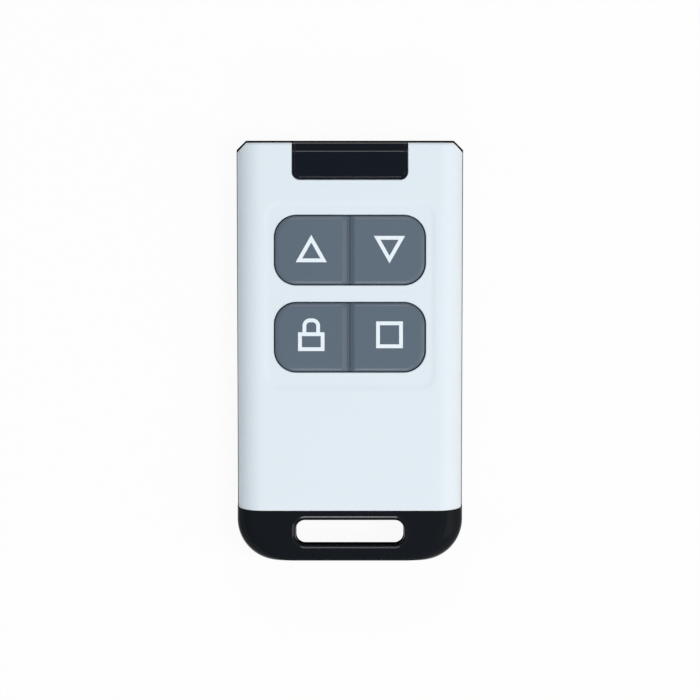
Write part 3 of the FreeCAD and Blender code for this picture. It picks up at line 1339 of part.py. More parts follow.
# Nothing is written unless every object is sound and every cut removed something
CUTTERS = ("PartDesign::Pocket", "PartDesign::Groove", "PartDesign::SubtractiveLoft")
faults = []
for item in doc.Objects:
    if "Invalid" in item.State or "Error" in item.State:
        faults.append(f"{item.Name} is {item.State}")
    elif item.TypeId in CUTTERS and item.Shape.Volume > item.BaseFeature.Shape.Volume - 1e-3:
        faults.append(f"{item.Name} cuts nothing")
for name, item in NODES.items():
    if item.Shape.isNull() or not item.Shape.isValid() or not item.Shape.Solids:
        faults.append(f"{name} has no sound shape")
if faults:
    raise SystemExit("\n".join(faults))
for name, item in NODES.items():
    item.Label = name
    item.Shape.exportStep(f"parts/{name}.step")
print(len(NODES), "nodes written")
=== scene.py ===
import json
import math

import bmesh
import bpy
import numpy as np
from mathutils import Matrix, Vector


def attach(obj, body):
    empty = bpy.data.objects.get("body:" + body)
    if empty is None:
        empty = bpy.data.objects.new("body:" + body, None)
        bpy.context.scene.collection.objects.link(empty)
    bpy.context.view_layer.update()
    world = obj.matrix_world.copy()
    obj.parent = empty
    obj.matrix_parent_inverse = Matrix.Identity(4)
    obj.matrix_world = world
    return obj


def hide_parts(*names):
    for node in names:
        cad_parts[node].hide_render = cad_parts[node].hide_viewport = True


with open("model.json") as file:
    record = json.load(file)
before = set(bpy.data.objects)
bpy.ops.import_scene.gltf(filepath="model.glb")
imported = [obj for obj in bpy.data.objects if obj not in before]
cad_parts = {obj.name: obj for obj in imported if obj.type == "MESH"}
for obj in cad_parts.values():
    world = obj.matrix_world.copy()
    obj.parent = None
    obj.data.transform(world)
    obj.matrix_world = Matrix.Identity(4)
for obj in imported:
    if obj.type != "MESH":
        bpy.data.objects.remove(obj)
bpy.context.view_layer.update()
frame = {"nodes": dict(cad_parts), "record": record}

# All sizes below are in millimetres, in the frame of the CAD model; MM turns them into metres.
MM = 0.001

# Meshes: nearer points are one point, shorter edges go, and a plane's rim lies this close to it
MERGE = 0.0008
SHORT_EDGE = 0.0004
ON_PLANE = 0.004

# Body
TOP_Z = 10.7
PARTING_Z = 4.0
END_Y = 32.3
SIDE_ROLL = 3.6
SEAM_Y = -24.74
SEAM_LEAN = math.radians(10.0)
SEAM_SLOPE = math.tan(SEAM_LEAN)
SEAM_GAP = 0.04

# Black rear case
TAIL_Y = -32.3
HALF_TAIL = 17.27
HALF_END = 17.5
END_CUT = 1.45
TAIL_CORNER = 6.4
TAIL_EDGE = 0.3
TAIL_LINE_Z = 5.2
REAR_EDGE = 1.5
REAR_WALL = 1.2
RIM_CHAMFER = 0.08
SHADE_BAND = 0.06
SLOT_HALF_X = 8.28
SLOT_HALF_Y = 1.85
SLOT_CORNER = 1.4
SLOT_Y = -27.95
SLOT_RIM = 0.62
# Lip of the slot inside its level rim: distance outward from the wall, and height
SLOT_LIP = (
    (0.59, -0.01), (0.29, -0.148), (0.25, -0.18), (0.13, -0.38), (0.05, -0.56), (0.01, -0.72), (0, -0.8))
# Specular level on the slot's rim, on level faces and on upright ones. Between the two last it follows the
# vertical part of the surface's direction, from SIDE_UP to CASE_UP
SLOT_RIM_SHINE = 0.33
CASE_SHINE = 0.06
SIDE_SHINE = 0.012
SIDE_UP = 0.5
CASE_UP = 0.9
# Points up to this far from the slot's wall count as wall, and from its rim as rim
ON_SLOT_WALL = 0.02
ON_SLOT_RIM = 0.01
DOOR_Y = -8.5
DOOR_SEAT = 12.0
DOOR_SEAT_EDGE = 0.12
HEAD_HOLE = 2.15
HEAD_HOLE_EDGE = 0.15
SCREWS = ((13.13, 27.15), (-13.13, 27.15), (12.9, -19.06), (-12.9, -19.06))

# White cover
COVER_END_Y = 31.75
COVER_HALF_TAIL = 17.09
COVER_HALF_END = 17.32
CORNER_CUT = 1.45
SHELL = 1.1
INNER_ROLL = 3.2
ROOF_Z = 9.3
END_WALL_Y = 30.25
END_ROUND = 0.5
SEAM_ROUND = 0.16
# Grid lines that follow the walls of the dish and the cut corner, as distances from where each begins
DISH_LOW_LINES = np.concatenate([[0.35, 0.7], np.arange(0.75, 1.56, 0.08)])
DISH_HIGH_LINES = np.concatenate([[0.15], np.arange(0.2, 0.97, 0.08)])
DISH_SIDE_LINES = np.arange(0.08, 1.05, 0.08)
CORNER_LINES = np.array([0.012, 0.05, 0.12, 0.21, 0.32, 0.45, 0.62, 0.8, 0.95])

# Dish round the keys
DISH_HALF_X = 12.87
DISH_HALF_Y = 14.17
DISH_Y = 8.32
DISH_CORNER = 2.1
DISH_DEPTH = 0.14
DISH_RUN = 0.7
DISH_SOFT = 0.25

# Key openings, and the plan cells that they sit in
PAD_HALF_X = 11.65
PAD_HALF_Y = 5.415
PAD_CORNER = 3.45
PAD_ROWS = (15.28, 1.93)
CELL_HALF_X = 12.3
CELL_HALF_Y = 6.675
PAD_LIP = 0.14
KEYS = (
    ("up", -1, PAD_ROWS[0]), ("down", 1, PAD_ROWS[0]), ("lock", -1, PAD_ROWS[1]), ("stop", 1, PAD_ROWS[1]))

# Keys
KEY_TOP_Z = 11.0
KEY_LOW_Z = 8.6
KEY_GAP = 0.2
KEY_SPLIT = 0.05
KEY_ROUND = 0.8
KEY_ROUND_DROP = 0.45
KEY_BRIM = 0.8
KEY_BRIM_Z = 9.2
KEY_SINK = 0.012
KEY_FINE_X = 1.35
VALLEY_END = 0.2
VALLEY_FADE = 0.4
# Valley: the left key falls from one distance to the split and rises again at a small step next to it
VALLEY_LEFT_TOP = 1.3
VALLEY_LEFT_RUN = 0.85
VALLEY_LEFT_DEEP = 0.34
VALLEY_STEP_TOP = 0.45
VALLEY_STEP_RUN = 0.3
VALLEY_STEP_RISE = 0.17
VALLEY_RIGHT_RUN = 0.8
VALLEY_RIGHT_DEEP = 0.4

# Window seat and lens
SEAT_HALF_X = 8.93
SEAT_LOW_Y = 26.02
SEAT_CORNER = 1.25
SEAT_Z = 9.7
SEAT_BACK_Y = 30.75
SEAT_LIP = 0.1
SEAT_CELL_X = 10.2
SEAT_CELL_Y = 24.75
LENS_HALF_X = 8.83
LENS_LOW_Y = 26.12
LENS_CORNER = 1.15
LENS_TOP_Z = 10.68
LENS_CREASE_Y = 30.41
LENS_CREASE_REACH = 0.3
LENS_CREASE_SOFT = 0.29
LENS_FACET_DROP = 1.0
LENS_END_ROUND = 0.25
LENS_END_DROP = 0.22
LENS_FOOT_Z = 4.1
LENS_RIM = 0.32
LENS_STEP = 0.15
LENS_STEP_RUN = 0.13
LENS_STEP_SOFT = 0.015
LENS_SEAT_GAP = 0.02
LENS_BACK_GAP = 0.02
# Half length of the rounded rectangle that the lens's rim follows: it ends beyond the body
LENS_RIM_HALF_Y = 20.0
# Grid lines that follow the rim's step, as distances from the side and from the low edge
LENS_SIDE_LINES = np.array([0, 0.1, 0.2, 0.3, 0.38, 0.41, 0.44, 0.47, 0.5, 0.53, 0.56, 0.62, 0.7, 0.85])
LENS_LOW_LINES = np.array(
    [0, 0.1, 0.2, 0.3, 0.36, 0.4, 0.43, 0.46, 0.49, 0.52, 0.55, 0.6, 0.7, 0.85, 1.0, 1.2])

# Stage and camera, in metres
FLOOR_Z = -0.00003
FLOOR_HALF = 1.5
FLOOR_GLOW = 0.94
WORLD_LIGHT = 0.2
CAMERA_PLACE = (0.00002, -0.00003, 0.8107)
CAMERA_LENS = 268.6
CAMERA_CLIP = (0.05, 10.0)


# ---- shapes: grids of points worked out with numpy ----

def add_mesh(name, patches, crease=32.0, planes=()):
    """Joins grids of points (rows, columns, 3) in mm into one closed mesh with smooth faces.
    A patch may come with a mask that says which of its quads are kept. A plane (normal, distance)
    is filled between the open edges that lie in it."""
    points, quads, first = [], [], 0
    for patch in patches:
        grid, keep = patch if isinstance(patch, tuple) else (patch, None)
        rows, columns = grid.shape[:2]
        index = first + np.arange(rows * columns).reshape(rows, columns)
        faces = np.stack([index[:-1, :-1], index[:-1, 1:], index[1:, 1:], index[1:, :-1]], axis=-1)
        quads.append(faces.reshape(-1, 4) if keep is None else faces[keep])
        points.append(grid.reshape(-1, 3))
        first += rows * columns
    mesh = bpy.data.meshes.new(name)
    mesh.from_pydata((np.concatenate(points) * MM).tolist(), [], np.concatenate(quads).tolist())
    work = bmesh.new()
    work.from_mesh(mesh)
    bmesh.ops.remove_doubles(work, verts=work.verts, dist=MERGE * MM)
    bmesh.ops.dissolve_degenerate(work, edges=work.edges, dist=SHORT_EDGE * MM)
    for normal, distance in planes:
        rim = [edge for edge in work.edges if edge.is_boundary and all(
            abs(vert.co.dot(Vector(normal)) - distance * MM) < ON_PLANE * MM for vert in edge.verts)]
        bmesh.ops.triangle_fill(work, edges=rim, normal=normal, use_beauty=True)
    loose = [vert for vert in work.verts if not vert.link_faces]
    bmesh.ops.delete(work, geom=loose, context="VERTS")
    bmesh.ops.recalc_face_normals(work, faces=work.faces)
    work.to_mesh(mesh)
    work.free()
    mesh.shade_smooth()
    mesh.set_sharp_from_angle(angle=math.radians(crease))
    piece = bpy.data.objects.new(name, mesh)
    bpy.context.scene.collection.objects.link(piece)
    return piece


def place(piece, body, nodes, slot):
    """Gives a new piece its body and the finish of its slot, and hides the CAD nodes that it stands for."""
    piece.data.materials.append(FINISHES[slot])
    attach(piece, body)
    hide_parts(*nodes)


def stack(x, y, z):
    """Grid of points from three arrays or numbers, each spread over the shape that they share."""
    return np.stack(np.broadcast_arrays(x, y, z), axis=-1).astype(float)


def zip_lines(first, second):
    """Strip between two lines with their own counts of points: both are walked by their share of
    length, and every step moves on along one of the two."""
    walks = []
    for line in (first, second):
        steps = np.linalg.norm(np.diff(line, axis=0), axis=1)
        way = np.concatenate([[0], np.cumsum(steps)])
        walks.append(way / way[-1])
    share = np.unique(np.concatenate(walks))
    picks = [
        np.clip(np.searchsorted(walk, share + 1e-12, side="right") - 1, 0, len(walk) - 1) for walk in walks]
    return np.stack([first[picks[0]], second[picks[1]]])


def soft_ramp(value, soft):
    """0 below -soft, the value itself above soft, and a parabola between."""
    bend = (value + soft) ** 2 / (4 * soft)
    return np.where(value < -soft, 0.0, np.where(value > soft, value, bend))


def rounded_box_distance(x, y, half_x, half_y, radius):
    """Distance to a rounded rectangle about the origin: corners as circles, negative inside."""
    over_x = np.abs(x) - (half_x - radius)
    over_y = np.abs(y) - (half_y - radius)
    outside = np.hypot(np.maximum(over_x, 0), np.maximum(over_y, 0))
    return outside + np.minimum(np.maximum(over_x, over_y), 0) - radius


def dish_drop(x, y):
    """Depth of the dish: full inside, falling to nothing over the run of its wall, with soft ends."""
    distance = rounded_box_distance(x, y - DISH_Y, DISH_HALF_X, DISH_HALF_Y, DISH_CORNER)
    half = DISH_RUN / 2
    climb = (soft_ramp(distance + half, DISH_SOFT) - soft_ramp(distance - half, DISH_SOFT)) / DISH_RUN
    return DISH_DEPTH * (1 - climb)


def end_drop(y):
    """Quarter circle that rounds the cover's edge at the window end."""
    over = np.clip(y - (COVER_END_Y - END_ROUND), 0, END_ROUND)
    return END_ROUND - np.sqrt(END_ROUND ** 2 - over ** 2)


def seam_y(z):
    """The leaning joint: further up the body the lower it goes."""
    return SEAM_Y + (TOP_Z - z) * SEAM_SLOPE + SEAM_GAP


def ring(half_x, half_y, radius, cell_x, cell_y, straight_x, straight_y, arc_1, arc_2):
    """Walk round a rounded rectangle: point, outward direction, and how far it is along that
    direction to the edge of a rectangular cell. The corner of the cell gets a point of its own."""
    core_x, core_y = half_x - radius, half_y - radius
    split = math.atan2(cell_y - core_y, cell_x - core_x)
    angle = np.concatenate([
        np.linspace(0, split, arc_1, endpoint=False), np.linspace(split, math.pi / 2, arc_2 + 1)])
    right = np.linspace(0, core_y, straight_y, endpoint=False)
    top = np.linspace(core_x, 0, straight_x + 1)[1:]
    x = np.concatenate([np.full_like(right, half_x), core_x + radius * np.cos(angle), top])
    y = np.concatenate([right, core_y + radius * np.sin(angle), np.full_like(top, half_y)])
    way_x = np.concatenate([np.ones_like(right), np.cos(angle), np.zeros_like(top)])
    way_y = np.concatenate([np.zeros_like(right), np.sin(angle), np.ones_like(top)])
    way_x[np.abs(way_x) < 1e-12] = 0
    first = np.stack([x, y, way_x, way_y], axis=1)
    second = first[::-1][1:] * (-1, 1, -1, 1)
    third = first[1:] * -1
    fourth = first[::-1][1:] * (1, -1, 1, -1)
    loop = np.concatenate([first, second, third, fourth])
    with np.errstate(divide="ignore"):
        reach = np.minimum(
            (cell_x - np.abs(loop[:, 0])) / np.abs(loop[:, 2]),
            (cell_y - np.abs(loop[:, 1])) / np.abs(loop[:, 3]))
    return loop[:, 0], loop[:, 1], loop[:, 2], loop[:, 3], reach


def lip_rows(reach, lip, flat_rows):
    """Way outward and drop of each row of a lip: over a quarter circle, then flat to the cell."""
    turn = np.linspace(0, math.pi / 2, 6)
    out = np.concatenate([lip * (1 - np.cos(turn)), np.zeros(flat_rows)])[None] * np.ones((len(reach), 1))
    share = np.linspace(0, 1, flat_rows + 1)[1:]
    out[:, len(turn):] = lip + (reach[:, None] - lip) * share
    drop = np.concatenate([lip * (1 - np.sin(turn)), np.zeros(flat_rows)])
    return out, drop


def outward(loop):
    """Directions that move every point of a closed clockwise loop out by the same wall thickness."""
    edge = np.roll(loop, -1, axis=0) - loop
    edge = edge / np.linalg.norm(edge, axis=1, keepdims=True)
    after = np.stack([-edge[:, 1], edge[:, 0]], axis=1)
    before = np.roll(after, 1, axis=0)
    return (before + after) / (1 + np.sum(before * after, axis=1, keepdims=True))


def rounded_loop(half_x, half_y, radius, centre, arc=12, straight=8):
    """Clockwise rounded rectangle: a quarter circle at each corner of its core, and straight lines
    between. It is a circle when both halves equal the radius."""
    angle = np.linspace(0, math.pi / 2, arc + 1)
    corner = radius * np.stack([np.sin(angle), np.cos(angle)], axis=1)
    core = np.array([half_x - radius, half_y - radius])
    turns = [(corner + core), (corner[::-1] * (1, -1) + core * (1, -1)), (corner * -1 - core),
             (corner[::-1] * (-1, 1) + core * (-1, 1))]
    lines = []
    for turn, following in zip(turns, turns[1:] + turns[:1]):
        gap = np.linspace(turn[-1], following[0], straight + 1)[1:-1]
        lines += [turn, gap] if np.ptp(gap, axis=0).max() > 1e-6 else [turn[:-1]]
    return np.concatenate(lines) + centre


def sweep_round(loop, profile):
    """Carries a profile of (distance outward, height) round a closed loop: each point of the loop
    moves out along its own direction by the distance and takes the height."""
    ways = outward(loop)
    profile = np.array(profile)
    grid = stack(
        loop[None, :, 0] + profile[:, :1] * ways[None, :, 0],
        loop[None, :, 1] + profile[:, :1] * ways[None, :, 1],
        profile[:, 1:])
    return np.concatenate([grid, grid[:, :1]], axis=1)


def quarter(radius, steps=5):
    """Distance outward and height of a quarter circle from a level face into a wall that falls."""
    turn = np.linspace(math.pi / 2, 0, steps + 1)
    return [(radius * (1 - math.cos(angle)), radius * (math.sin(angle) - 1)) for angle in turn]


def tail_path(half, end_y, seam):
    """Clockwise line from the joint on the right side round the tail to the joint on the left."""
    core = end_y + TAIL_CORNER
    angle = np.linspace(0, math.pi / 2, 25)
    side = np.linspace(seam, core, 6)[:-1]
    corner_x = half - TAIL_CORNER + TAIL_CORNER * np.cos(angle)
    corner_y = core - TAIL_CORNER * np.sin(angle)
    right = np.concatenate([
        np.stack([np.full_like(side, half), side], axis=1), np.stack([corner_x, corner_y], axis=1),
        np.stack([np.linspace(half - TAIL_CORNER, 0, 8)[1:], np.full(7, end_y)], axis=1)])
    return np.concatenate([right, right[::-1][1:] * (-1, 1)])


def case_shell():
    """Rear case: a tub under the cover and a solid tail. The tail's level sections are rounded
    rectangles that draw in towards the top, at the sides along the body's roll and at the end along
    a small edge radius; every section stops at the leaning joint."""
    joint = SEAM_Y + (TOP_Z - PARTING_Z) * SEAM_SLOPE
    tail = tail_path(HALF_TAIL, TAIL_Y, joint)
    share = np.linspace(0, 1, 13)[1:]
    slope = (HALF_END - HALF_TAIL) / (END_Y - joint)
    side_y = joint + (END_Y - END_CUT - joint) * share
    side = np.stack([-(HALF_TAIL + slope * (side_y - joint)), side_y], axis=1)
    end = np.stack([np.linspace(-HALF_END + END_CUT, HALF_END - END_CUT, 12), np.full(12, END_Y)], axis=1)
    front = np.concatenate([side, end, side[::-1] * (-1, 1)])
    outline = np.concatenate([tail, front])
    ways = outward(outline)
    is_front = np.arange(len(outline)) >= len(tail)
    turn = np.linspace(0, math.pi / 2, 9)
    inset = np.concatenate([[REAR_EDGE + SHADE_BAND], REAR_EDGE * (1 - np.sin(turn)), [0, 0]])
    height = np.concatenate([[0], REAR_EDGE * (1 - np.cos(turn)), [PARTING_Z - RIM_CHAMFER, PARTING_Z]])
    draw = inset[:, None] + np.where(height == PARTING_Z, RIM_CHAMFER, 0)[:, None] * is_front
    body = stack(outline[:, 0] - ways[:, 0] * draw, outline[:, 1] - ways[:, 1] * draw, height[:, None])
    body = np.concatenate([body, body[:, :1]], axis=1)

    roll = SIDE_ROLL * np.sin(np.radians(np.arange(0, 91, 5)))
    edge = TAIL_EDGE * np.sin(np.radians(np.arange(0, 91, 9)))
    levels = np.unique(np.round(np.concatenate([
        [PARTING_Z, TAIL_LINE_Z], TOP_Z - SIDE_ROLL + roll, TOP_Z - TAIL_EDGE + edge]), 5))
    levels = levels[np.concatenate([[True], np.diff(levels) > 0.003])]
    levels[-1] = TOP_Z
    over_side = np.clip((levels - TOP_Z + SIDE_ROLL) / SIDE_ROLL, 0, 1)
    over_end = np.clip((levels - TOP_Z + TAIL_EDGE) / TAIL_EDGE, 0, 1)
    half = HALF_TAIL - SIDE_ROLL * (1 - np.sqrt(1 - over_side ** 2))
    end_y = TAIL_Y + TAIL_EDGE * (1 - np.sqrt(1 - over_end ** 2))
    seam = SEAM_Y + (TOP_Z - levels) * SEAM_SLOPE
    sections = np.stack([
        np.column_stack([tail_path(*line), np.full(len(tail), z)])
        for z, *line in zip(levels, half, end_y, seam)])
    crown = np.concatenate([
        sections[-1, :, :2], np.linspace(sections[-1, -1, :2], sections[-1, 0, :2], 14)[1:-1]])

    slot = rounded_loop(SLOT_HALF_X, SLOT_HALF_Y, SLOT_CORNER, (0, SLOT_Y))
    lip = [(SLOT_RIM + SHADE_BAND, 0), (SLOT_RIM, 0), *SLOT_LIP]
    slot_wall = [(out, TOP_Z + drop) for out, drop in lip] + [(out, -drop) for out, drop in lip[::-1]]
    top_band = sweep_round(crown, [(0, TOP_Z), (-SHADE_BAND, TOP_Z)])
    patches = [body, sections, top_band, sweep_round(slot, slot_wall)]
    holes = [(DOOR_SEAT, DOOR_SEAT_EDGE, 32, (0, DOOR_Y))]
    holes += [(HEAD_HOLE, HEAD_HOLE_EDGE, 12, centre) for centre in SCREWS]
    for radius, soft, arc, centre in holes:
        wall = [(soft + SHADE_BAND, 0)] + [(out, -drop) for out, drop in quarter(soft)] + [(0, REAR_WALL)]
        patches.append(sweep_round(rounded_loop(radius, radius, radius, centre, arc), wall))

    ends = np.r_[len(tail) - 1:len(outline), 0]
    rim = body[-1, ends]
    inner = np.column_stack([outline[ends] - ways[ends] * SHELL, np.full(len(ends), PARTING_Z)])
    floor = inner * (1, 1, 0) + (0, 0, REAR_WALL)
    patches += [np.stack([rim, inner, floor]), np.stack([inner[[0, -1]], floor[[0, -1]]])]
    return patches


def cover_lines():
    """Lines of the cover's grid: across and along at the key openings, then at the window."""
    x, y, way_x, way_y, reach = ring(
        PAD_HALF_X, PAD_HALF_Y, PAD_CORNER, CELL_HALF_X, CELL_HALF_Y, 7, 4, 20, 16)
    edge_x, edge_y = x + way_x * reach, y + way_y * reach
    on_top = edge_y > CELL_HALF_Y - 1e-6
    across_pads = np.sort(edge_x[on_top])
    on_right = np.abs(edge_x - CELL_HALF_X) < 1e-6
    along_pad = np.unique(np.round(edge_y[on_right], 9))
    lower = along_pad + PAD_ROWS[1]
    upper = along_pad + PAD_ROWS[0]
    pads = np.concatenate([lower, upper[1:]])

    core_x, core_y = SEAT_HALF_X - SEAT_CORNER, SEAT_LOW_Y + SEAT_CORNER
    wide, tall = SEAT_CELL_X - core_x, core_y - SEAT_CELL_Y
    split = math.atan2(tall, wide)
    angle_side = np.linspace(0, split, 9)
    angle_low = np.linspace(split, math.pi / 2, 9)
    seat_side_y = core_y - wide * np.tan(angle_side)
    seat_low_x = core_x + tall / np.tan(angle_low)
    seat_low_x[-1] = core_x
    middle = np.linspace(-core_x, core_x, 15)
    outer = np.linspace(SEAT_CELL_X, CELL_HALF_X, 9)
    right = np.concatenate([seat_low_x[::-1][1:], outer[1:]])
    across_window = np.concatenate([-right[::-1], middle, right])
    corner = COVER_END_Y - CORNER_CUT
    turn = np.linspace(0, math.pi / 2, 7)[1:]
    along_window = np.concatenate([
        seat_side_y[::-1],
        np.linspace(core_y, corner, 5)[1:],
        corner + CORNER_LINES,
        COVER_END_Y - END_ROUND + END_ROUND * np.sin(turn),
    ])
    return across_pads, pads, across_window, along_window


def cover_grid(inner):
    """The cover as one grid of points. Across: skirt, rolled shoulder, flat roof, and back down. The
    shoulder is an arc that stops early where the corner is cut off. Along: the first rows lie on the
    leaning joint. The inner skin has the same lines, drawn in by the wall."""
    across_pads, pads, across_window, along_window = cover_lines()
    start = pads[0]
    wall_low = start - DISH_LOW_LINES
    wall_high = pads[-1] + DISH_HIGH_LINES
    low = np.linspace(1, 0, 15)[:-1]
    low_row_y = wall_low[-1]
    turn = np.linspace(math.pi / 2, 0, 6)
    nominal = np.concatenate([
        np.full(6, SEAM_Y), low_row_y + low[1:] * (SEAM_Y - low_row_y), wall_low[::-1], pads, wall_high])
    share = np.concatenate([np.ones(6), low[1:], np.zeros(len(nominal) - 5 - len(low))])
    lead = np.concatenate([SEAM_ROUND * (1 - np.sin(turn)), np.full(len(nominal) - 6, SEAM_ROUND)])
    drop = np.concatenate([SEAM_ROUND * (1 - np.cos(turn)), np.zeros(len(nominal) - 6)])
    morph_y = np.linspace(nominal[-1], along_window[0], 6)[1:]
    morph = np.concatenate([np.zeros(len(nominal)), np.linspace(0, 1, 6)[1:], np.ones(len(along_window) - 1)])
    nominal = np.concatenate([nominal, morph_y, along_window[1:]])
    extra = len(nominal) - len(share)
    share, lead = np.concatenate([share, np.zeros(extra)]), np.concatenate([lead, np.zeros(extra)])
    drop = np.concatenate([drop, np.zeros(extra)]) + end_drop(nominal)

    y = nominal[:, None]
    flat = across_pads + morph[:, None] * (across_window - across_pads)
    half = COVER_HALF_TAIL + (COVER_HALF_END - COVER_HALF_TAIL) * (y - SEAM_Y) / (COVER_END_Y - SEAM_Y)
    cut = np.minimum(half, COVER_HALF_END - (y - (COVER_END_Y - CORNER_CUT)))
    straight = half - SIDE_ROLL
    bend = np.arcsin(np.clip((cut - straight) / SIDE_ROLL, 0, 1))
    whole = straight - CELL_HALF_X + SIDE_ROLL * bend
    near = DISH_SIDE_LINES
    far = near[-1] + (whole - near[-1]) * np.linspace(0, 1, 22)[1:]
    way = np.concatenate([near + 0 * y, far], axis=1)
    angle = np.maximum(way - (straight - CELL_HALF_X), 0) / SIDE_ROLL
    radius = INNER_ROLL if inner else SIDE_ROLL
    roof = ROOF_Z if inner else TOP_Z
    side_x = np.where(angle > 0, straight + radius * np.sin(angle), CELL_HALF_X + way)
    side_z = roof - radius * (1 - np.cos(angle))
    flat_z = np.full_like(flat, roof)
    if not inner:
        side_z = side_z - dish_drop(side_x, y) - drop[:, None]
        flat_z = flat_z - dish_drop(flat, y) - drop[:, None]
    skirt = np.linspace(0, 1, 7)[1:]
    skirt_x = side_x[:, -1:] + 0 * skirt
    skirt_z = side_z[:, -1:] + (PARTING_Z - side_z[:, -1:]) * skirt
    right_x = np.concatenate([side_x, skirt_x], axis=1)
    right_z = np.concatenate([side_z, skirt_z], axis=1)
    x = np.concatenate([-right_x[:, ::-1], flat, right_x], axis=1)
    z = np.concatenate([right_z[:, ::-1], flat_z, right_z], axis=1)
    if inner:
        low_end = seam_y(PARTING_Z) + SHELL
        squeeze = (END_WALL_Y - SEAT_CELL_Y) / (COVER_END_Y - SEAT_CELL_Y)
        along = np.where(nominal > SEAT_CELL_Y, SEAT_CELL_Y + (nominal - SEAT_CELL_Y) * squeeze, nominal)
        along = np.where(share > 0, low_row_y + share * (low_end - low_row_y), along)[:, None] + 0 * x
    else:
        seam = seam_y(z) + lead[:, None]
        along = np.where(
            share[:, None] > 0, low_row_y + share[:, None] * (seam - low_row_y), nominal[:, None])
    grid = stack(x, along, z)
    count = right_x.shape[1]
    return grid, nominal, count, len(skirt)


def cover_shell():
    """Both skins of the cover, the rings round the key openings, the window seat, and the rims
    between. A ring's points go out from a rounded rectangle, square to it, up to its cell's edge."""
    across_pads, pads, across_window, along_window = cover_lines()
    outer, nominal, side_count, skirt_count = cover_grid(False)
    inner = cover_grid(True)[0]
    columns = outer.shape[1]
    middle_y = (nominal[:-1] + nominal[1:]) / 2
    flat_quads = np.zeros(columns - 1, bool)
    flat_quads[side_count:columns - 1 - side_count] = True
    in_pads = (middle_y > pads[0]) & (middle_y < pads[-1])
    keep = ~(in_pads[:, None] & flat_quads[None])
    window_x = (np.abs(outer[-1, :-1, 0] + outer[-1, 1:, 0]) / 2 < SEAT_CELL_X) & flat_quads
    in_window = middle_y > SEAT_CELL_Y
    patches = [(outer, keep & ~(in_window[:, None] & window_x[None])), (inner, keep)]

    # Rings round the two key openings
    x, y, way_x, way_y, reach = ring(
        PAD_HALF_X, PAD_HALF_Y, PAD_CORNER, CELL_HALF_X, CELL_HALF_Y, 7, 4, 20, 16)
    out, drop = lip_rows(reach, PAD_LIP, 22)
    for row_y in PAD_ROWS:
        px = x[:, None] + way_x[:, None] * out
        py = y[:, None] + way_y[:, None] * out + row_y
        top = stack(px, py, TOP_Z - dish_drop(px, py) - drop)
        wall = np.stack([top[:, 0], top[:, 0] * (1, 1, 0) + (0, 0, ROOF_Z)], axis=1)
        share = np.linspace(0, 1, 3) * reach[:, None]
        under = stack(
            x[:, None] + way_x[:, None] * share, y[:, None] + way_y[:, None] * share + row_y, ROOF_Z)
        patches += [top, wall, under]

    # Window seat: side, corner, low edge, corner, side
    core_x, core_y = SEAT_HALF_X - SEAT_CORNER, SEAT_LOW_Y + SEAT_CORNER
    wide, tall = SEAT_CELL_X - core_x, core_y - SEAT_CELL_Y
    split = math.atan2(tall, wide)
    angle = np.concatenate([np.linspace(0, split, 9), np.linspace(split, math.pi / 2, 9)[1:]])
    side_y = along_window[along_window > core_y + 1e-9][::-1]
    low_x = np.linspace(core_x, 0, 8)[1:]
    half_path = np.concatenate([
        np.stack([np.full_like(side_y, SEAT_HALF_X), side_y, np.ones_like(side_y), 0 * side_y], axis=1),
        np.stack([core_x + SEAT_CORNER * np.cos(angle), core_y - SEAT_CORNER * np.sin(angle),
                  np.cos(angle), -np.sin(angle)], axis=1),
        np.stack([low_x, np.full_like(low_x, SEAT_LOW_Y), 0 * low_x, -np.ones_like(low_x)], axis=1),
    ])
    half_path[np.abs(half_path) < 1e-12] = 0
    path = np.concatenate([half_path, half_path[::-1][1:] * (-1, 1, -1, 1)])
    with np.errstate(divide="ignore"):
        reach = np.minimum(
            (SEAT_CELL_X - np.abs(path[:, 0])) / np.abs(path[:, 2]),
            (path[:, 1] - SEAT_CELL_Y) / np.abs(path[:, 3]))
    out, drop = lip_rows(reach, SEAT_LIP, 6)
    px = path[:, :1] + path[:, 2:3] * out
    py = path[:, 1:2] + path[:, 3:4] * out
    top = stack(px, py, TOP_Z - end_drop(py) - drop)
    wall = np.stack([top[:, 0], top[:, 0] * (1, 1, 0) + (0, 0, SEAT_Z)], axis=1)
    behind = path[:, 1] > SEAT_BACK_Y - 1e-6
    on_seat = path[:, 1] < SEAT_BACK_Y + 1e-6
    floor_path = np.where(on_seat)[0]
    loop = wall[floor_path, 1]
    spread = np.linspace(SEAT_HALF_X, -SEAT_HALF_X, len(loop))
    back = stack(spread, SEAT_BACK_Y, SEAT_Z)
    share = np.linspace(0, 1, 4)[:, None, None]
    floor = loop[None] + (back - loop)[None] * share
    skirt = np.linspace(0, 1, skirt_count + 1)
    back_z = np.concatenate([[SEAT_Z], SEAT_Z + (PARTING_Z - SEAT_Z) * np.linspace(0, 1, skirt_count)[1:]])
    back_wall = stack(back[None, :, 0], SEAT_BACK_Y, back_z[:, None])
    patches += [top, (wall, ~(behind[:-1] & behind[1:])[:, None]), floor, back_wall]
    right_ends, left_ends = np.split(np.where(behind)[0], [np.sum(behind) // 2])
    for side, ends in ((1, right_ends), (-1, left_ends)):
        lip = top[ends, 0]
        blend = (lip[:, 1] - SEAT_BACK_Y) / (COVER_END_Y - SEAT_BACK_Y)
        from_back = np.concatenate([lip[:, 2:3], np.repeat(back_z[None], len(lip), axis=0)], axis=1)
        from_end = lip[:, 2:3] + (PARTING_Z - lip[:, 2:3]) * skirt
        z = from_back * (1 - blend[:, None]) + from_end * blend[:, None]
        patches.append(stack(side * SEAT_HALF_X, lip[:, 1:2], z))

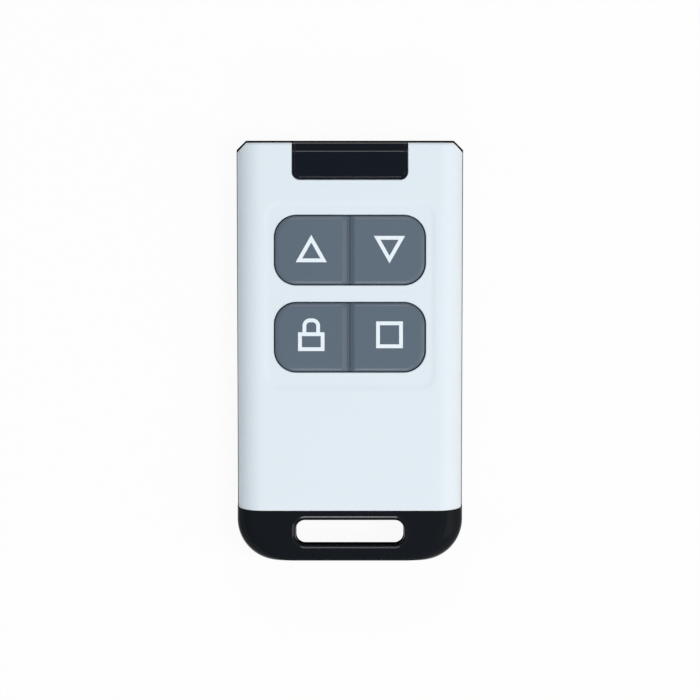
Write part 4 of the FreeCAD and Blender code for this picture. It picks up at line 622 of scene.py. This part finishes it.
    # End faces: leaning at the tail, upright at the window end
    crown = outer[0, skirt_count:columns - skirt_count]
    z = crown[None, :, 2] + (PARTING_Z - crown[None, :, 2]) * skirt[:, None]
    seam_face = stack(crown[None, :, 0], seam_y(z), z)
    crown = outer[-1, skirt_count:columns - skirt_count]
    crown = crown[crown[:, 0] > SEAT_CELL_X - 1e-6]
    lip_line = top[0]
    edge = np.concatenate([lip_line, crown[1:]])
    z = edge[None, :, 2] + (PARTING_Z - edge[None, :, 2]) * skirt[:, None]
    end_face = stack(edge[None, :, 0], COVER_END_Y, z)
    patches += [seam_face, end_face, end_face * (-1, 1, 1)]
    for row in (0, -1):
        crown = inner[row, skirt_count:columns - skirt_count]
        z = crown[None, :, 2] + (PARTING_Z - crown[None, :, 2]) * skirt[:, None]
        patches.append(stack(crown[None, :, 0], crown[None, :, 1], z))

    # Rim under the skirt, on the parting plane
    patches += [np.stack([outer[:, column], inner[:, column]]) for column in (0, -1)]
    inner_seam = stack(inner[0, skirt_count:columns - skirt_count, 0], inner[0, 0, 1], PARTING_Z)
    patches.append(np.stack([seam_face[-1], inner_seam]))
    notch = stack(SEAT_HALF_X, top[right_ends, 0, 1], PARTING_Z)
    right = np.concatenate([end_face[-1][::-1], notch[1:]])
    line = np.concatenate([right, back_wall[-1][1:], (right * (-1, 1, 1))[::-1][1:]])
    crown = inner[-1, skirt_count:columns - skirt_count]
    patches.append(zip_lines(line, (crown * (1, 1, 0) + (0, 0, PARTING_Z))[::-1]))
    return patches


# ---- keys ----

def swing(share):
    """Half a cosine wave from 0 to 1 as the share goes from 0 to 1, level before and after."""
    return 0.5 - 0.5 * np.cos(math.pi * np.clip(share, 0, 1))


def valley_drop(x, y, side):
    """Depth of the valley along the split of a pad. The left key falls to a small step next to the
    split, the right key rises from the bottom. Both are cosine curves that run out at the ends."""
    half = PAD_HALF_Y - KEY_GAP - VALLEY_END
    ends = np.clip((half - np.abs(y)) / VALLEY_FADE, 0, 1)
    if side < 0:
        fall = swing((VALLEY_LEFT_TOP - x) / VALLEY_LEFT_RUN)
        rise = swing((VALLEY_STEP_TOP - x) / VALLEY_STEP_RUN)
        deep = VALLEY_LEFT_DEEP * fall - VALLEY_STEP_RISE * rise
    else:
        deep = VALLEY_RIGHT_DEEP * (1 - swing((x - KEY_SPLIT) / VALLEY_RIGHT_RUN))
    return deep * ends * ends * (3 - 2 * ends)


def key_cap(side, row_y):
    """One key. The top is a grid whose rows follow the rounded outer corners; a quarter circle and a
    skirt run round its three outer edges, and the split face closes the fourth."""
    half_x, half_y = PAD_HALF_X - KEY_GAP, PAD_HALF_Y - KEY_GAP
    corner = PAD_CORNER - KEY_GAP - KEY_ROUND
    top_x, top_y = half_x - KEY_ROUND, half_y - KEY_ROUND
    core_x, core_y = top_x - corner, top_y - corner
    angle = np.linspace(math.pi / 2, 0, 25)
    x = np.concatenate([
        np.linspace(KEY_SPLIT, KEY_FINE_X, 27), np.linspace(KEY_FINE_X, core_x, 12)[1:],
        core_x + corner * np.cos(angle[1:])])
    limit = np.where(
        x > core_x, core_y + corner * np.sqrt(np.maximum(1 - ((x - core_x) / corner) ** 2, 0)), top_y)
    limit[-1] = core_y
    rows = np.concatenate([
        np.linspace(-1, -0.7, 16), np.linspace(-0.7, 0.7, 15)[1:-1], np.linspace(0.7, 1, 16)])
    py = rows[:, None] * limit[None]
    px = x[None] + 0 * py
    top_z = KEY_TOP_Z - KEY_SINK
    pz = top_z - valley_drop(px, py, side)
    top = stack(px, py, pz)

    # The three outer edges in walking order, with their outward directions
    way = np.stack([
        np.where(x > core_x, (x - core_x) / corner, 0),
        np.where(x > core_x, (core_y - limit) / corner, -1)], axis=1)
    way[-1] = (1, 0)
    outer_edge = np.concatenate([top[0], top[1:-1, -1], top[-1, ::-1]])
    side_way = np.stack([np.ones(len(rows) - 2), np.zeros(len(rows) - 2)], axis=1)
    ways = np.concatenate([way, side_way, way[::-1] * (1, -1)])
    turn = np.linspace(0, math.pi / 2, 9)
    out = KEY_ROUND * np.sin(turn)
    down = KEY_ROUND_DROP * (1 - np.cos(turn))
    rim = stack(
        outer_edge[:, :1] + ways[:, :1] * out, outer_edge[:, 1:2] + ways[:, 1:2] * out,
        outer_edge[:, 2:3] - down)
    brim = rim[:, -1] + np.concatenate([ways, 0 * ways[:, :1]], axis=1) * KEY_BRIM
    skirt = np.stack([
        rim[:, -1], rim[:, -1] * (1, 1, 0) + (0, 0, KEY_BRIM_Z), brim * (1, 1, 0) + (0, 0, KEY_BRIM_Z),
        brim * (1, 1, 0) + (0, 0, KEY_LOW_Z)], axis=1)
    edge = np.concatenate([skirt[0, :0:-1], rim[0][::-1], top[1:, 0], rim[-1][1:], skirt[-1, 1:]])
    foot = np.linspace(edge[0], edge[-1], len(edge))
    face = np.stack([edge, foot])
    floor = zip_lines(skirt[:, -1], foot)
    patches = [top, rim, skirt, face, floor]
    return [patch * (side, 1, 1) + (0, row_y, 0) for patch in patches]


# ---- window lens ----

def lens_block():
    """Window: a closed section in the YZ plane carried across on columns that follow its two rounded
    corners. Height is the plate, less a step at the rim, less the slanting facet beyond the crease."""
    turn = np.linspace(0, math.pi / 2, 17)
    core = LENS_HALF_X - LENS_CORNER
    rim = LENS_HALF_X - LENS_SIDE_LINES
    side = np.unique(np.round(np.concatenate([core + LENS_CORNER * np.sin(turn), rim]), 6))
    x = np.concatenate([-side[::-1], np.linspace(-core, core, 15)[1:-1], side])
    over = np.maximum(np.abs(x) - core, 0) / LENS_CORNER
    low = LENS_LOW_Y + LENS_CORNER * (1 - np.sqrt(np.maximum(1 - over ** 2, 0)))
    near = LENS_LOW_LINES
    flat_end = LENS_CREASE_Y - LENS_CREASE_REACH
    far = np.linspace(0, 1, 14)[1:]
    crease = LENS_CREASE_Y + np.linspace(-LENS_CREASE_REACH, LENS_CREASE_REACH, 21)[1:]
    facet_end = COVER_END_Y - LENS_END_ROUND
    facet = np.linspace(crease[-1], facet_end, 7)[1:]
    y = np.concatenate([
        low[None] + near[:, None], low + near[-1] + (flat_end - low - near[-1]) * far[:, None],
        np.concatenate([crease, facet])[:, None] + 0 * x[None]])
    inside = -rounded_box_distance(
        x[None], y - (LENS_LOW_Y + LENS_RIM_HALF_Y), LENS_HALF_X, LENS_RIM_HALF_Y, LENS_CORNER)
    climb = soft_ramp(inside - LENS_RIM, LENS_STEP_SOFT)
    step = (climb - soft_ramp(inside - LENS_RIM - LENS_STEP_RUN, LENS_STEP_SOFT)) / LENS_STEP_RUN
    slope = LENS_FACET_DROP / (COVER_END_Y - LENS_CREASE_Y)
    z = LENS_TOP_Z - LENS_STEP * (1 - step) - slope * soft_ramp(y - LENS_CREASE_Y, LENS_CREASE_SOFT)
    bend = np.linspace(0, 1, 6)[1:, None]
    start_y, start_z = y[-1], z[-1]
    end_z = start_z - slope * LENS_END_ROUND - LENS_END_DROP
    round_y = start_y + (COVER_END_Y - start_y) * np.sin(bend * math.pi / 2)
    round_z = start_z + (end_z - start_z) * (1 - np.cos(bend * math.pi / 2))
    fall = np.linspace(0, 1, 6)[1:, None]
    down_z = end_z + (LENS_FOOT_Z - end_z) * fall
    level = np.ones_like(x)[None]
    low_z = SEAT_Z + LENS_SEAT_GAP
    back_y = SEAT_BACK_Y + LENS_BACK_GAP
    under_y = back_y + (low - back_y) * np.linspace(0, 1, 5)[1:, None]
    section_y = [y, round_y, COVER_END_Y + 0 * down_z, back_y * level, back_y * level, under_y, low[None]]
    section_z = [z, round_z, down_z, LENS_FOOT_Z * level, low_z * level, low_z + 0 * under_y, z[:1]]
    tube = stack(x[None], np.concatenate(section_y), np.concatenate(section_z))
    front = sum(len(part) for part in section_y[:3])
    ends = [zip_lines(tube[:front, column], tube[front:-1, column][::-1]) for column in (0, -1)]
    return [tube, *ends]


# ---- finishes ----

def srgb(*channels):
    """Colour as it is seen, 0 to 255, turned into the linear values of a shader."""
    value = np.array(channels) / 255
    linear = np.where(value <= 0.04045, value / 12.92, ((value + 0.055) / 1.055) ** 2.4)
    return (*linear.tolist(), 1.0)


def finish(name, colour, shade, roughness, spread, grain, bump, depth, cloud=60.0, **sockets):
    """A moulded, plated or painted surface. Fine grain gives the bump, a wide cloud moves the colour
    between two shades and the roughness round its middle value."""
    material = bpy.data.materials.new(name)
    material.use_nodes = True
    nodes, links = material.node_tree.nodes, material.node_tree.links
    shader = nodes["Principled BSDF"]
    for socket, value in sockets.items():
        shader.inputs[socket.replace("_", " ")].default_value = value
    coordinates = nodes.new("ShaderNodeTexCoord")
    wide = nodes.new("ShaderNodeTexNoise")
    wide.inputs["Scale"].default_value = cloud
    wide.inputs["Detail"].default_value = 4.0
    fine = nodes.new("ShaderNodeTexNoise")
    fine.inputs["Scale"].default_value = grain
    fine.inputs["Detail"].default_value = 3.0
    fine.inputs["Roughness"].default_value = 0.6
    for texture in (wide, fine):
        links.new(coordinates.outputs["Object"], texture.inputs["Vector"])
    mix = nodes.new("ShaderNodeMix")
    mix.data_type = "RGBA"
    mix.inputs["A"].default_value = colour
    mix.inputs["B"].default_value = shade
    links.new(wide.outputs["Fac"], mix.inputs["Factor"])
    links.new(mix.outputs["Result"], shader.inputs["Base Color"])
    rough = nodes.new("ShaderNodeMapRange")
    rough.inputs["From Min"].default_value = 0.3
    rough.inputs["From Max"].default_value = 0.7
    rough.inputs["To Min"].default_value = roughness - spread
    rough.inputs["To Max"].default_value = roughness + spread
    links.new(fine.outputs["Fac"], rough.inputs["Value"])
    links.new(rough.outputs["Result"], shader.inputs["Roughness"])
    relief = nodes.new("ShaderNodeBump")
    relief.inputs["Strength"].default_value = bump
    relief.inputs["Distance"].default_value = depth * MM
    links.new(fine.outputs["Fac"], relief.inputs["Height"])
    links.new(relief.outputs["Normal"], shader.inputs["Normal"])
    return material


FINISHES = {
    "case_black": finish(
        "case_black", (0.0075, 0.0095, 0.0125, 1), (0.009, 0.011, 0.0138, 1), 0.16, 0.03, 5200, 0.08, 0.01,
        Specular_IOR_Level=CASE_SHINE),
    "cover_white": finish(
        "cover_white", srgb(226, 236, 244), srgb(223, 234, 242), 0.45, 0.05, 5200, 0.2, 0.01,
        Specular_IOR_Level=0.3),
    "window_smoked": finish(
        "window_smoked", (0.002, 0.0045, 0.0095, 1), (0.0028, 0.0054, 0.011, 1), 0.09, 0.02, 900, 0.03, 0.01,
        Specular_IOR_Level=0.4),
    "key_grey": finish(
        "key_grey", srgb(91, 105, 119), srgb(96, 110, 124), 0.33, 0.05, 6500, 0.2, 0.012),
    "legend_white": finish(
        "legend_white", srgb(228, 240, 250), srgb(235, 245, 252), 0.5, 0.05, 6000, 0.2, 0.01,
        Specular_IOR_Level=0.3),
    "board_green": finish("board_green", srgb(24, 92, 52), srgb(36, 112, 64), 0.3, 0.08, 2500, 0.2, 0.02),
    "cell_steel": finish(
        "cell_steel", srgb(190, 190, 188), srgb(205, 205, 202), 0.28, 0.08, 3000, 0.2, 0.01, Metallic=1.0),
    "seal_plastic": finish(
        "seal_plastic", srgb(120, 122, 126), srgb(134, 136, 140), 0.5, 0.08, 3000, 0.2, 0.02),
    "contact_plate": finish(
        "contact_plate", srgb(196, 190, 178), srgb(210, 205, 194), 0.3, 0.08, 3000, 0.2, 0.01, Metallic=1.0),
    "screw_steel": finish(
        "screw_steel", srgb(120, 120, 124), srgb(146, 146, 150), 0.35, 0.1, 3000, 0.3, 0.01, Metallic=1.0),
    "chip_black": finish("chip_black", srgb(34, 34, 36), srgb(44, 44, 46), 0.6, 0.08, 4000, 0.4, 0.02),
    "solder_tin": finish(
        "solder_tin", srgb(200, 200, 198), srgb(215, 215, 212), 0.3, 0.1, 3000, 0.3, 0.01, Metallic=1.0),
    "can_plate": finish(
        "can_plate", srgb(206, 196, 168), srgb(218, 209, 184), 0.3, 0.08, 3000, 0.2, 0.01, Metallic=1.0),
    "ferrite": finish("ferrite", srgb(52, 52, 54), srgb(66, 66, 68), 0.7, 0.08, 3500, 0.5, 0.03),
    "resistor_black": finish(
        "resistor_black", srgb(40, 40, 42), srgb(54, 54, 56), 0.5, 0.08, 3500, 0.3, 0.02),
    "capacitor_tan": finish(
        "capacitor_tan", srgb(168, 140, 110), srgb(182, 156, 126), 0.55, 0.08, 3500, 0.3, 0.02),
    "light_red": finish("light_red", srgb(190, 40, 34), srgb(210, 52, 44), 0.15, 0.04, 1500, 0.1, 0.01),
    "switch_plastic": finish(
        "switch_plastic", srgb(44, 44, 46), srgb(56, 56, 58), 0.5, 0.08, 3500, 0.3, 0.02),
    "dome_steel": finish(
        "dome_steel", srgb(205, 205, 203), srgb(218, 218, 216), 0.25, 0.06, 3000, 0.2, 0.01, Metallic=1.0),
    "plunger_plastic": finish(
        "plunger_plastic", srgb(170, 60, 50), srgb(184, 72, 62), 0.5, 0.08, 3500, 0.3, 0.02),
    "door_black": finish(
        "door_black", srgb(24, 27, 32), srgb(29, 32, 38), 0.36, 0.07, 5200, 0.3, 0.014,
        Specular_IOR_Level=0.15),
    "seal_rubber": finish("seal_rubber", srgb(36, 36, 38), srgb(48, 48, 50), 0.75, 0.08, 4000, 0.4, 0.02),
}


def vary_shine(material, piece):
    """Specular level from an attribute: satin on top and underneath, duller down the sides, polished
    on the slot's rim, none on its walls."""
    mesh = piece.data
    points = np.empty(3 * len(mesh.vertices))
    mesh.vertices.foreach_get("co", points)
    x, y, _ = points.reshape(-1, 3).T / MM
    out = rounded_box_distance(x, y - SLOT_Y, SLOT_HALF_X, SLOT_HALF_Y, SLOT_CORNER)
    ways = np.empty(3 * len(mesh.vertices))
    mesh.vertices.foreach_get("normal", ways)
    share = np.clip((np.abs(ways.reshape(-1, 3)[:, 2]) - SIDE_UP) / (CASE_UP - SIDE_UP), 0, 1)
    outside = SIDE_SHINE + (CASE_SHINE - SIDE_SHINE) * share * share * (3 - 2 * share)
    shine = np.where(
        out < ON_SLOT_WALL, 0.0, np.where(out < SLOT_RIM + ON_SLOT_RIM, SLOT_RIM_SHINE, outside))
    mesh.attributes.new("shine", "FLOAT", "POINT").data.foreach_set("value", shine)
    nodes, links = material.node_tree.nodes, material.node_tree.links
    mark = nodes.new("ShaderNodeAttribute")
    mark.attribute_name = "shine"
    links.new(mark.outputs["Fac"], nodes["Principled BSDF"].inputs["Specular IOR Level"])


slots = {part["node"]: part["material_slot"] for part in frame["record"]["subparts"]}
for node, piece in frame["nodes"].items():
    piece.data.materials.clear()
    piece.data.materials.append(FINISHES[slots[node]])

joint_way = (0, math.cos(SEAM_LEAN), math.sin(SEAM_LEAN))
joint_plane = (joint_way, SEAM_Y * joint_way[1] + TOP_Z * joint_way[2])
case_planes = (joint_plane, ((0, 0, 1), TOP_Z), ((0, 0, 1), REAR_WALL), ((0, 0, 1), 0.0))
case = add_mesh("case_shell", case_shell(), planes=case_planes)
place(case, "housing", ["rear_case", "case_tail"], "case_black")
vary_shine(FINISHES["case_black"], case)
place(add_mesh("cover_shell", cover_shell()), "housing", ["front_cover"], "cover_white")
for kind, side, row_y in KEYS:
    cap = add_mesh(f"cap_{kind}", key_cap(side, row_y), crease=40.0)
    place(cap, f"{kind}_key", [f"key_{kind}"], "key_grey")
lens = add_mesh("window_block", lens_block(), crease=50.0)
place(lens, "housing", ["window_lens"], "window_smoked")


# ---- stage, lamps and camera ----

def flat_board(name, half, z):
    """Large square in the plane z."""
    mesh = bpy.data.meshes.new(name)
    corners = [(-half, -half, z), (half, -half, z), (half, half, z), (-half, half, z)]
    mesh.from_pydata(corners, [], [(0, 1, 2, 3)])
    board = bpy.data.objects.new(name, mesh)
    bpy.context.scene.collection.objects.link(board)
    return board


def floor_finish():
    """White floor: seen directly it is nearly all plain white, and a part of it keeps the light that
    falls on it, so that the shadow stays."""
    material = bpy.data.materials.new("floor_white")
    material.use_nodes = True
    nodes, links = material.node_tree.nodes, material.node_tree.links
    shader = nodes["Principled BSDF"]
    shader.inputs["Base Color"].default_value = (0.8, 0.8, 0.8, 1)
    shader.inputs["Roughness"].default_value = 0.9
    glow = nodes.new("ShaderNodeEmission")
    glow.inputs["Color"].default_value = (1, 1, 1, 1)
    glow.inputs["Strength"].default_value = 1.0
    path = nodes.new("ShaderNodeLightPath")
    seen = nodes.new("ShaderNodeMath")
    seen.operation = "MAXIMUM"
    links.new(path.outputs["Is Camera Ray"], seen.inputs[0])
    links.new(path.outputs["Is Glossy Ray"], seen.inputs[1])
    through = nodes.new("ShaderNodeMath")
    through.operation = "MAXIMUM"
    links.new(seen.outputs[0], through.inputs[0])
    links.new(path.outputs["Is Transmission Ray"], through.inputs[1])
    share = nodes.new("ShaderNodeMath")
    share.operation = "MULTIPLY"
    share.inputs[1].default_value = FLOOR_GLOW
    links.new(through.outputs[0], share.inputs[0])
    mix = nodes.new("ShaderNodeMixShader")
    links.new(share.outputs[0], mix.inputs[0])
    links.new(shader.outputs[0], mix.inputs[1])
    links.new(glow.outputs[0], mix.inputs[2])
    links.new(mix.outputs[0], nodes["Material Output"].inputs["Surface"])
    return material


floor = flat_board("floor", FLOOR_HALF, FLOOR_Z)
floor.data.materials.append(floor_finish())


def lamp(name, place_at, width, height, share, colour=(1, 1, 1), mirrored=True):
    """Soft box that faces the object. Share is its part of the light on a level surface at the middle
    of the object, where all parts together make a colour render as it is written. A box that isn't
    mirrored gives light but no reflection of its own."""
    data = bpy.data.lights.new(name, "AREA")
    data.shape = "RECTANGLE"
    data.size, data.size_y = width, height
    data.color = colour
    way = Vector(place_at)
    data.energy = share * math.pi ** 2 * way.length ** 3 / way.z
    light = bpy.data.objects.new(name, data)
    bpy.context.scene.collection.objects.link(light)
    light.visible_glossy = mirrored
    light.location = way
    light.rotation_euler = (-way).to_track_quat("-Z", "Y").to_euler()


lamp("top_box", (0.37, -0.1, 1.0), 0.34, 0.34, 0.48, mirrored=False)
lamp("left_box", (-0.8, -0.1, 0.5), 0.5, 0.5, 0.06, (0.93, 0.98, 1.0), mirrored=False)
lamp("right_box", (0.8, -0.2, 0.42), 0.4, 0.8, 0.09, (1.0, 0.88, 0.78))
lamp("front_box", (0.05, -0.75, 0.6), 0.34, 0.16, 0.13)
lamp("back_box", (0.0, 0.7, 0.7), 0.54, 0.22, 0.1)

world = bpy.data.worlds.new("studio")
world.use_nodes = True
sky = world.node_tree.nodes["Background"]
sky.inputs["Color"].default_value = (1, 1, 1, 1)
sky.inputs["Strength"].default_value = WORLD_LIGHT
bpy.context.scene.world = world
bpy.context.scene.view_settings.view_transform = "Standard"

camera_data = bpy.data.cameras.new("camera")
camera_data.sensor_width = 36.0
camera_data.lens = CAMERA_LENS
camera_data.clip_start, camera_data.clip_end = CAMERA_CLIP
camera = bpy.data.objects.new("camera", camera_data)
bpy.context.scene.collection.objects.link(camera)
camera.location = CAMERA_PLACE
bpy.context.scene.camera = camera
